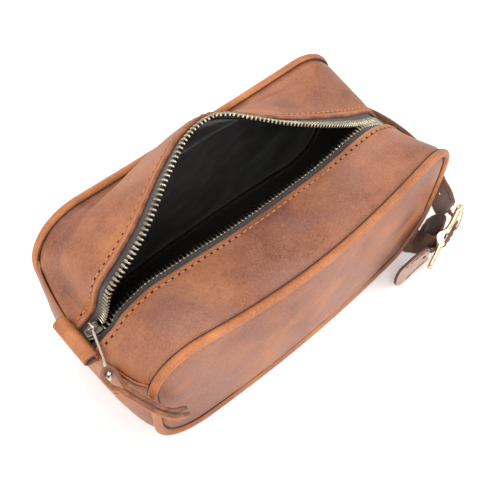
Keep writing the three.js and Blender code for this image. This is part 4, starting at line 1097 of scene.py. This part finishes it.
# ------------------------------------------------------------------ rolled end tab
def end_tab():
    cx, cy, cz = -(LENGTH / 2 + END_BULGE + 4.1 + 0.2), -3.5, SEAM_Z - END_DROP + 6.0
    # one piece of leather folded into a loop, both ends sewn into the end seam
    sec = []
    rm = 3.75
    for a in np.linspace(-152, 152, 33):
        t = math.radians(a) + math.pi
        sec.append((rm * math.cos(t) * 1.02, rm * math.sin(t)))
    lower = [(4.4, -0.95), (5.8, -0.8), (7.4, -0.8)]
    upper = [(4.4, 0.95), (5.8, 0.8), (7.4, 0.8)]
    mid = sec
    # path goes from the lower root round the loop to the upper root
    if mid[0][1] > 0:
        mid = mid[::-1]
    line = list(reversed(lower)) + mid + upper
    # the root points down at the seam
    tilt = math.radians(-48)
    line = [(x * math.cos(tilt) - z * math.sin(tilt), x * math.sin(tilt) + z * math.cos(tilt)) for x, z in line]
    line = catmull([(x, 0, z) for x, z in line], 64)[:, [0, 2]]
    ys = np.linspace(-14.5, 14.5, 41)
    P = np.zeros((len(line), len(ys), 3))
    for i, (x, z) in enumerate(line):
        for j, y in enumerate(ys):
            k = 1 + 0.035 * pn((x * 2, y, z * 2), 9, 60)
            P[i, j] = (cx + x * k, cy + y + 0.25 * pn((x, y, z), 5, 61), cz + z * k + 0.2 * pn((0, y, 0), 12, 62))
    N = grid_normals(P)
    V, F, _, tags = slab(P, N, 1.5, round_=0.5)
    o = make("rolled_tab", V, F, [M_TAB, M_SUEDE, M_EDGE], body="shell", fmat=tags)
    me = o.data
    axis = Vector((cx / 1000, 0, cz / 1000))
    for p in me.polygons:
        if p.material_index == 2:
            continue
        d = p.center - axis
        d.y = 0
        p.material_index = 0 if (p.normal.dot(d) > 0 or d.length > 0.0052) else 1
    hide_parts("end_tab")
    # a row of stitches holds the tab's ends beside the seam
    parts = []
    for y in np.arange(-12, 12.1, 4.3):
        parts.append(stitch(vec(cx + 4.7, cy + y, cz - 2.3), vec(0, 1, 0), vec(0.72, 0, 0.7), 3.2, 0.42))
    V, F, _ = merge(parts)
    make("tab_stitches", V, F, M_THREAD, body="shell")


end_tab()

# ------------------------------------------------------------------ slider
RUN = unit(vec(ZIP_B[0] - ZIP_A[0], 0, ZIP_B[1] - ZIP_A[1]))
UP = vec(-RUN[2], 0, RUN[0])
SL = vec(-121.4, ZIP_Y, 85.7)
lo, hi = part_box("zip_slider")
m = frame4(SL, RUN, UP)
shield = [(5.6, -3.2), (5.2, -4.0), (3.6, -4.35), (0.5, -4.1), (-3.0, -3.2), (-5.2, -2.6), (-5.8, -1.9), (-5.8, 1.9), (-5.2, 2.6), (-3.0, 3.2), (0.5, 4.1), (3.6, 4.35), (5.2, 4.0), (5.6, 3.2), (4.9, 1.2), (4.5, 0.0), (4.9, -1.2)]
parts = [prism(shield, 1.95, 3.1, m, 0.4, 3), prism(shield, -3.1, -1.95, m, 0.35, 2),
         prism([(4.4, -0.6), (4.4, 0.6), (2.2, 0.9), (2.2, -0.9)], -2.2, 2.2, m, 0.15, 1)]
for sy in (-1, 1):       # the side lips that hold the teeth in
    parts.append(prism([(x, sy * y) for x, y in [(4.6, 3.5), (4.6, 4.3), (1.0, 4.2), (-3.4, 3.2), (-5.0, 2.7), (-5.0, 2.0), (-3.2, 2.5), (1.0, 3.4)]], 1.1, 2.3, m, 0.18, 1))
    parts.append(prism([(x, sy * y) for x, y in [(4.6, 3.5), (4.6, 4.3), (1.0, 4.2), (-3.4, 3.2), (-5.0, 2.7), (-5.0, 2.0), (-3.2, 2.5), (1.0, 3.4)]], -2.3, -1.1, m, 0.18, 1))
BR = SL + UP * (2.0 + 0.55 + 4.0)
def sl(x, y, z):
    return SL + RUN * x + vec(0, 1, 0) * y + UP * z
arch = catmull([sl(4.0, 0, 2.9), sl(3.9, 0, 4.6), sl(3.0, 0, 6.2), sl(1.2, 0, 6.75), sl(-1.2, 0, 6.75), sl(-3.0, 0, 6.2), sl(-3.9, 0, 4.6), sl(-4.0, 0, 2.9)], 36)
parts.append(tube(arch, 0.62, 10, nref=vec(0, 1, 0), flat=(1.0, 1.5)))
V, F, _ = merge(parts)
V = [SL + (np.array(v) - SL - UP * 2.0) * 0.86 + UP * 2.0 for v in V]
o = make("slider_body", V, F, M_SLIDER, body="slider")
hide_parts("zip_slider")

# ------------------------------------------------------------------ metal pull bar
CURL = vec(-130.6, -32.4, 87.6)
bar_dir = unit(CURL - BR)
cax = vec(0.05, 0.2, -0.98)
cax = unit(cax - bar_dir * cax.dot(bar_dir))
e_dir = unit(bar_dir - RUN * bar_dir.dot(RUN))
ec = BR + e_dir * 0.12
perp = np.cross(RUN, e_dir)
eye = [ec + (e_dir * math.cos(a) + perp * math.sin(a)) * 2.15 for a in np.linspace(0, 2 * math.pi, 29)[:-1]]
to = unit(CURL - ec)
side_dir = unit(np.cross(to, cax))
start, stop = ec + to * 2.3, CURL - to * 0.4
shank = [start + (stop - start) * k for k in np.linspace(0, 1, 15)]
parts = [tube(eye, 0.72, 12, closed=True),
         tube(shank, [1.15 + 0.35 * abs(2 * k - 1) ** 3 for k in np.linspace(0, 1, 15)], 14, nref=cax, flat=(0.8, 1.15))]
cr = [CURL + cax * s for s in np.linspace(-5.1, 5.1, 15)]
parts.append(tube(cr, [1.5 * (1 - 0.35 * abs(k) ** 10) for k in np.linspace(-1, 1, 15)], 14))
V, F, _ = merge(parts)
o = make("pull_shank", V, F, M_STEEL, body="pull_bar")
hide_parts("pull_bar")


# ------------------------------------------------------------------ folded leather pull
def folded_line(centre, axis, pts, wrap_r, gap_half, n, arc_n=14):
    line = strap_line([(centre, axis)] + pts, n)
    w0 = unit(axis)
    t0 = line[1][0] - line[0][0]
    t0 = unit(t0 - w0 * t0.dot(w0))
    n0 = unit(np.cross(t0, w0))
    kept = [s for s in line if np.linalg.norm(s[0] - centre) > wrap_r * 1.25]
    def lay(sg):
        out = []
        for p, w, nn in kept:
            far = clamp((np.linalg.norm(p - centre) - wrap_r * 1.25) / (wrap_r * 2.4), 0, 1)
            tip = clamp(len(out) / max(1, len(kept) - 1), 0, 1)
            off = gap_half + (wrap_r * 0.95 - gap_half) * (1 - smooth(far)) + 0.5 * smooth(clamp((tip - 0.5) / 0.5, 0, 1))
            out.append((p + nn * sg * off, w, nn * sg))
        return out
    arc = []
    for i in range(arc_n + 1):
        a = math.radians(-4 + 188 * i / arc_n)
        r = n0 * math.cos(a) - t0 * math.sin(a)
        arc.append((centre + r * wrap_r, w0, r))
    return lay(1)[::-1], arc, lay(-1)


pull_pts = [(-130.6, -37.4, 87.4), (-129.6, -43, 87.8), (-127.4, -51.6, 88.6), (-123.4, -60.6, 85.2), (-117.4, -64.6, 74.5), (-110, -65.2, 61.5)]
pull_w = [vec(0.05 + 0.05 * i, 0.2 - 0.02 * i, -0.98) for i in range(6)]
a_, b_, c_ = folded_line(CURL, cax, [(vec(*p), w) for p, w in zip(pull_pts, pull_w)], 3.5, 1.3, 50, 22)
st = a_ + b_ + c_
V, F, tags, uv = strap_mesh(st, 4.0, 1.05, across=8, dome=0.1, wave=0.22)
o = make("pull_strap", V, F, [M_PULL, M_SUEDE, M_EDGE], body="pull_leather", fmat=tags)
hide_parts("pull_leather")
parts = []
for line_ in (a_[::-1], c_):
    L = np.concatenate([[0], np.cumsum([np.linalg.norm(line_[i + 1][0] - line_[i][0]) for i in range(len(line_) - 1)])])
    for s in np.arange(5.0, L[-1] - 1.5, 4.1):
        i = int(np.searchsorted(L, s)) - 1
        i = clamp(i, 0, len(line_) - 2)
        p, w, n = line_[i]
        for ww in (-2.6, 2.6):
            parts.append(stitch(p + w * ww + n * 1.1, line_[i + 1][0] - p, n, 2.9, 0.34))
V, F, _ = merge(parts)
make("pull_stitches", V, F, M_THREAD, body="pull_leather")

# ------------------------------------------------------------------ handle strap and buckle
BC = vec(114.0, -75.2, 28.6)
bb = unit(vec(0.578, 0.207, -0.789))
bs = vec(-0.755, -0.232, -0.614); bs = unit(bs - bb * bs.dot(bb))
bn = unit(np.cross(bb, bs))
ROOT_REAR = vec(124.6, 51.2, 51.5)
ROOT_FRONT = (vec(114.6, -58.0, 15.0), vec(99.8, -59.2, 3.8))


def loc(s, n, b=0.0):
    return BC + bs * s + bn * n + bb * b


def bend_weight(p):
    """0 where a strap is sewn in, 1 once it hangs free"""
    a, b = ROOT_FRONT
    k = clamp((p - a).dot(b - a) / (b - a).dot(b - a), 0, 1)
    near = min(np.linalg.norm(p - (a + (b - a) * k)) / 12.0, np.linalg.norm(p - ROOT_REAR) / 26.0 - 0.35)
    return smooth(near)


def blend_straps(o):
    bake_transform(o, "shell", "handle", start=(0, 0, 0), end=(0, 0, 1))
    at = o.data.attributes["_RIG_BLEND"]
    at.data.foreach_set("value", np.array([bend_weight(np.array(v.co) * 1000.0) for v in o.data.vertices], np.float32))


w_rear, w_b = vec(0, 0, 1), -bb
w_tail = unit(-bb + bn * 0.32)
long_pts = [
    (vec(123.4, 53.2, 51.5), w_rear), (vec(126.8, 46.5, 51.4), w_rear), (vec(130.8, 38, 51.2), w_rear), (vec(135.8, 27, 51), w_rear),
    (vec(139.6, 14, 51), w_rear), (vec(141.2, -2, 51), w_rear), (vec(140.2, -20, 50.6), vec(0.02, -0.06, 1)), (vec(137.5, -37, 49), vec(0.12, -0.25, 0.95)),
    (vec(132.9, -48.6, 44.8), vec(0.05, -0.44, 0.9)), (vec(129.0, -57.9, 42.2), vec(0.103, -0.521, 0.847)), (vec(125.6, -65.2, 39.7), vec(-0.041, -0.572, 0.819)),
    (loc(-16.9, 2.9), unit(w_b + vec(-0.10, -0.20, 0.02))), (loc(-15.2, -0.8), w_b), (loc(-12.2, -4.1), w_b), (loc(-6, -4.5), w_b),
    (loc(0, -4.4), w_b), (loc(5, -3.6), w_b), (loc(9.2, -0.8), w_b), (loc(12.6, 2.0), w_b), (loc(18, 4.9, -1.4), w_tail),
    (loc(25.5, 8.2, -3.6), w_tail), (loc(35.3, 11.6, -6.8), w_tail), (loc(44, 13.8, -9.6), w_tail)]
LS = strap_line(long_pts, 200)
LEN = np.concatenate([[0], np.cumsum([np.linalg.norm(LS[i + 1][0] - LS[i][0]) for i in range(len(LS) - 1)])])
hw = []
for i in range(len(LS)):
    rest = LEN[-1] - LEN[i]
    hw.append(11.0 * math.sqrt(max(0.03, 1 - (1 - rest / 11.0) ** 2)) if rest < 11.0 else 11.0)
V, F, tags, uv = strap_mesh(LS, hw, 1.0, across=14, dome=0.06, wave=0.25)
# which side is the grain side: the one away from the bag along the end of the bag
mid_i = min(range(len(LS)), key=lambda i: abs(LS[i][0][1] + 6) + abs(LS[i][0][0] - 140))
grain_plus = LS[mid_i][2][0] > 0
strap_o = make("handle_long", V, F, [M_STRAP if grain_plus else M_SUEDE, M_SUEDE if grain_plus else M_STRAP, M_EDGE_DK], fmat=tags)


def on_strap(s, w, side):
    i = int(clamp(np.searchsorted(LEN, s) - 1, 0, len(LS) - 2))
    f = (s - LEN[i]) / (LEN[i + 1] - LEN[i])
    p = LS[i][0] * (1 - f) + LS[i + 1][0] * f
    ww = unit(LS[i][1] * (1 - f) + LS[i + 1][1] * f)
    n = unit(LS[i][2] * (1 - f) + LS[i + 1][2] * f)
    t = unit(LS[i + 1][0] - LS[i][0])
    return p + ww * w + n * side * 1.0, t, n * side, ww


def cutter(verts, faces):
    me = bpy.data.meshes.new("cutter")
    me.from_pydata([tuple(float(c) / 1000 for c in v) for v in verts], [], faces)
    bm = bmesh.new(); bm.from_mesh(me); bmesh.ops.recalc_face_normals(bm, faces=bm.faces); bm.to_mesh(me); bm.free()
    c = bpy.data.objects.new("cutter", me)
    bpy.context.scene.collection.objects.link(c)
    return c


def cut_with(o, parts, mat_index):
    V, F, _ = merge(parts)
    c = cutter(V, F)
    for mt in o.data.materials:
        c.data.materials.append(mt)
    for p in c.data.polygons:
        p.material_index = mat_index
    md = o.modifiers.new("cut", "BOOLEAN")
    md.object, md.operation, md.solver = c, "DIFFERENCE", "EXACT"
    dg = bpy.context.evaluated_depsgraph_get()
    me = bpy.data.meshes.new_from_object(o.evaluated_get(dg))
    o.modifiers.clear()
    if len(me.polygons) > 0.6 * len(o.data.polygons):
        o.data = me
    else:
        print("cut skipped on", o.name, len(me.polygons), len(o.data.polygons))
    bpy.data.objects.remove(c)


# adjusting holes on the way to the buckle and in the tail
sb = LEN[min(range(len(LS)), key=lambda i: np.linalg.norm(LS[i][0] - loc(0, -4.4)))]
cuts = []
for k in (-54.0, -36.0, 22.0):
    s = sb + k
    if s > LEN[-1] - 7 or s < 5:
        continue
    p, t, n, w = on_strap(s, 0, 1)
    cuts.append(tube([p + n * 1.5, p - n * 4.0], 1.5, 18))
cuts.append(prism([(-5.3, -2.0), (5.3, -2.0), (5.3, 2.0), (-5.3, 2.0)], -4.5, 4.5, frame4(loc(-7.2, -4.6), bs, bn), 0, 1))
cut_with(strap_o, cuts, 2)
# the tail's flesh side takes a paler, lit copy of the strap's suede: painted light; the same side along the rest of the
# strap keeps the darker suede_back, its shaded copy
for p in strap_o.data.polygons:
    c = np.array(p.center) * 1000.0
    if (c - BC).dot(bs) > 9.0 and p.material_index in (0, 1):
        if len(strap_o.data.materials) < 4:
            strap_o.data.materials.append(M_SUEDE_LIT_COPY)
            strap_o.data.materials.append(M_STRAP_DK)
        p.material_index = 3
for p in strap_o.data.polygons:
    c = np.array(p.center) * 1000.0
    if (c - BC).dot(bs) > 10.0 and p.material_index == 2 and len(strap_o.data.materials) > 4:
        p.material_index = 4
blend_straps(strap_o)
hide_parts("handle_strap")

parts, holes = [], []
for side in (1, -1):
    for edge in (-8.4, 8.4):
        s = 3.0
        while s < LEN[-1] - 9:
            if abs(s - sb) > 26 or side == (1 if grain_plus else -1):
                p, t, n, w = on_strap(s, edge, side)
                p2, t2, n2, w2 = on_strap(s + 2.25, edge, side)
                parts.append(stitch(p, t, n, 3.0, 0.36))
                for dd in (-0.5, 0.0, 0.5):
                    holes.append(hole_shade_disc(p2 + t2 * dd, n2, 0.6))
            s += 4.5
V1, F1, _ = merge(parts)
V2, F2, _ = merge(holes)
V, F, G = merge([(V1, F1, 0), (V2, F2, 1)])
o = make("handle_stitches", V, F, [thread("strap_thread", rgb(120, 84, 60), rgb(84, 56, 40)), M_HOLE_SHADE], fmat=G)
blend_straps(o)

# buckle frame: cast loop whose side bars dip round the middle bar, with a hooked boss at each end of it
def rounded_rect(hx, hy, r, n=8):
    pts = []
    for cx, cy, a0 in ((hx - r, hy - r, 0), (-hx + r, hy - r, 90), (-hx + r, -hy + r, 180), (hx - r, -hy + r, 270)):
        for i in range(n + 1):
            a = math.radians(a0 + 90 * i / n)
            pts.append((cx + r * math.cos(a), cy + r * math.sin(a)))
    out = []
    for i, p in enumerate(pts):
        q = pts[(i + 1) % len(pts)]
        out.append(p)
        d = math.hypot(q[0] - p[0], q[1] - p[1])
        if d > 3:
            k = int(d / 1.8)
            out += [(p[0] + (q[0] - p[0]) * j / k, p[1] + (q[1] - p[1]) * j / k) for j in range(1, k)]
    return out


def dip(s):
    return -2.0 + 2.7 * math.exp(-((s / 5.5) ** 2))


rr = rounded_rect(23.3, 12.9, 3.2)
loop = [loc(x, dip(x), y) for x, y in rr]
parts = [tube(loop, [1.3 + 0.55 * smooth((-x - 6) / 12) for x, _ in rr], 16, closed=True, nref=bn, flat=(1.0, 1.18)),
         tube([loc(0, 0, y) for y in np.linspace(-12.6, 12.6, 11)], 1.2, 14)]
hook = [(-7.0, -1.2), (-4.0, 0.8), (-1.4, 2.9), (1.2, 3.3), (3.8, 2.0), (6.0, -0.6), (7.2, -2.2), (6.4, -3.6), (4.6, -4.0), (3.0, -3.2), (1.6, -2.0), (-0.4, -1.4), (-2.8, -1.5), (-6.0, -2.8)]
hook = [tuple(q) for q in catmull([(a, b, 0) for a, b in hook + hook[:1]], 44)[:-1, :2]]
for y in (-12.9, 12.9):
    parts.append(prism(hook, -1.35, 1.35, frame4(loc(0, 0, y), bs, np.cross(bs, bn)), 0.5, 3))
V, F, _ = merge(parts)
o = make("buckle_loop", V, F, M_GOLD, body="buckle")
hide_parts("buckle_frame")

ringp = [BC + (bs * math.cos(a) + bn * math.sin(a)) * 1.95 for a in np.linspace(0, 2 * math.pi, 25)[:-1]]
tongue = catmull([loc(-1.6, -1.2), loc(-3.0, -3.0), loc(-5, -5.1), loc(-8, -6.5), loc(-13, -6.9), loc(-19, -5.9), loc(-24.0, -4.5)], 28)
parts = [tube(ringp, 0.5, 12, closed=True, nref=bb, flat=(1.0, 2.4)),
         tube(tongue, [1.1 - 0.4 * (k / 28) ** 2 for k in range(29)], 12, nref=bn, flat=(1.15, 0.7))]
V, F, _ = merge(parts)
o = make("buckle_pin", V, F, M_GOLD, body="prong")
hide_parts("buckle_prong")


# buckle strap: an open loop from the front seam round the middle bar and back, given by its two edges
def short_strap():
    hw_, wr = 10.2, 1.2 + 0.35 + 0.65
    pair = lambda s, n: (loc(s, n, -hw_), loc(s, n, hw_))
    pairs = [
        (vec(113.6, -56.6, 16.0), vec(98.9, -57.8, 5.6)), (vec(113.9, -58.2, 15.4), vec(99.2, -59.4, 4.8)), (vec(113.4, -60.6, 18.6), vec(101.2, -62.0, 4.9)),
        (vec(109.0, -66.8, 27.2), vec(105.6, -69.5, 7.5)), (vec(106.3, -71.9, 31.9), vec(111.5, -72.8, 12.7)), (vec(105.0, -75.0, 34.6), vec(113.4, -74.3, 15.9)), pair(2.7, 4.6), pair(wr + 0.1, 1.8)]
    pairs += [pair(wr * math.cos(math.radians(a)), wr * math.sin(math.radians(a))) for a in (0, -30, -60, -90, -120, -150, -180)]
    pairs += [pair(-wr - 0.3, 1.4), pair(-3.8, 2.4), (loc(-8.4, 2.6, -10.1), vec(118.9, -71.9, 21.9)), (loc(-12.4, 3.3, -10), vec(116.7, -71.5, 21.7)), (vec(117.9, -67.4, 43.5), vec(114.0, -69.1, 20.3)), (vec(117.5, -63.3, 38.8), vec(113.1, -65.0, 16.7)),
        (vec(117.2, -59.8, 31), vec(113.8, -61.4, 11.6)), (vec(116.4, -58.4, 23.4), vec(107.4, -60.6, 6.6)),
        (vec(116.2, -57.6, 13.6), vec(101.2, -58.7, 2.4)), (vec(115.6, -56.4, 13.9), vec(100.8, -57.2, 3.2))]
    c = catmull([np.concatenate([(a + b) / 2, (b - a) / 2]) for a, b in pairs], 150)
    tan = np.gradient(c[:, :3], axis=0)
    st, hws = [], []
    for i in range(len(c)):
        w = unit(c[i, 3:])
        st.append((c[i, :3], w, unit(np.cross(tan[i], w))))
        hws.append(float(np.linalg.norm(c[i, 3:])))
    return st, hws


SS, SHW = short_strap()
V, F, tags, uv = strap_mesh(SS, SHW, 0.65, across=12, dome=0.05, wave=0.15)
# at the bar the grain side faces away from the bag
k_bar = min(range(len(SS)), key=lambda i: np.linalg.norm(SS[i][0] - loc(0, -2.2)))
plus = SS[k_bar][2].dot(bn) < 0
# painted shade: the grain side takes leather_strap_dark, a darker copy of the handle's strap leather
short_o = make("buckle_strap_loop", V, F, [M_STRAP_DK if plus else M_SUEDE_DK, M_SUEDE_DK if plus else M_STRAP_DK, M_EDGE_DK], fmat=tags)
cut_with(short_o, [prism([(-4.7, -2.0), (4.7, -2.0), (4.7, 2.0), (-4.7, 2.0)], -4.2, 4.2, frame4(loc(-1.6, -1.0), bs, bn), 0, 1)], 2)
blend_straps(short_o)
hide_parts("buckle_strap")

# ------------------------------------------------------------------ floor, light, camera
scene = bpy.context.scene


def stage_plane():
    me = bpy.data.meshes.new("floor")
    s = 3.0
    me.from_pydata([(-s, -s, -0.0004), (s, -s, -0.0004), (s, s, -0.0004), (-s, s, -0.0004)], [], [(0, 1, 2, 3)])
    f = bpy.data.objects.new("floor", me)
    scene.collection.objects.link(f)
    t = Tree("floor_paper")
    n = t.noise(6, 2)
    t.link(t.mix(n, (0.93, 0.93, 0.93, 1), (0.96, 0.96, 0.955, 1)), t.bsdf.inputs["Base Color"])
    t.bsdf.inputs["Roughness"].default_value = 0.9
    t.bsdf.inputs["Specular IOR Level"].default_value = 0.1
    me.materials.append(t.mat)


stage_plane()
world = bpy.data.worlds.new("studio")
scene.world = world
world.use_nodes = True
bg = world.node_tree.nodes["Background"]
bg.inputs["Color"].default_value = (1.0, 1.0, 1.0, 1)
bg.inputs["Strength"].default_value = 0.85


def area(name, loc_, target, size, power, color=(1, 1, 1)):
    d = bpy.data.lights.new(name, "AREA")
    d.shape, d.size, d.energy, d.color = "RECTANGLE", size[0], power, color
    d.size_y = size[1]
    o = bpy.data.objects.new(name, d)
    o.location = loc_
    o.rotation_euler = (Vector(target) - Vector(loc_)).to_track_quat("-Z", "Y").to_euler()
    scene.collection.objects.link(o)


area("key_softbox", (-0.55, -0.35, 0.95), (0.0, 0.0, 0.06), (0.7, 0.7), 7.8, (1.0, 0.985, 0.96))
area("fill_softbox", (0.75, -0.75, 0.6), (0.0, 0.0, 0.05), (0.8, 0.6), 6.2)
area("rim_softbox", (0.35, 0.9, 0.7), (0.0, 0.0, 0.06), (0.7, 0.4), 4.0)
scene.view_settings.view_transform = "Standard"

cam_d = bpy.data.cameras.new("camera")
cam_d.sensor_width = 36.0
cam_d.sensor_fit = "HORIZONTAL"
cam_d.lens = 711.1 / 500 * 36.0
cam_d.clip_start = 0.02
cam = bpy.data.objects.new("camera", cam_d)
right, down, fwd = vec(0.7393011, -0.6726442, 0.0313625), vec(-0.5511845, -0.6312460, -0.5456411), vec(0.3868198, 0.3861065, -0.8374319)
cm = Matrix(((right[0], -down[0], -fwd[0], -0.18372), (right[1], -down[1], -fwd[1], -0.18329), (right[2], -down[2], -fwd[2], 0.43617), (0, 0, 0, 1)))
cam.matrix_world = cm
scene.collection.objects.link(cam)
scene.camera = cam
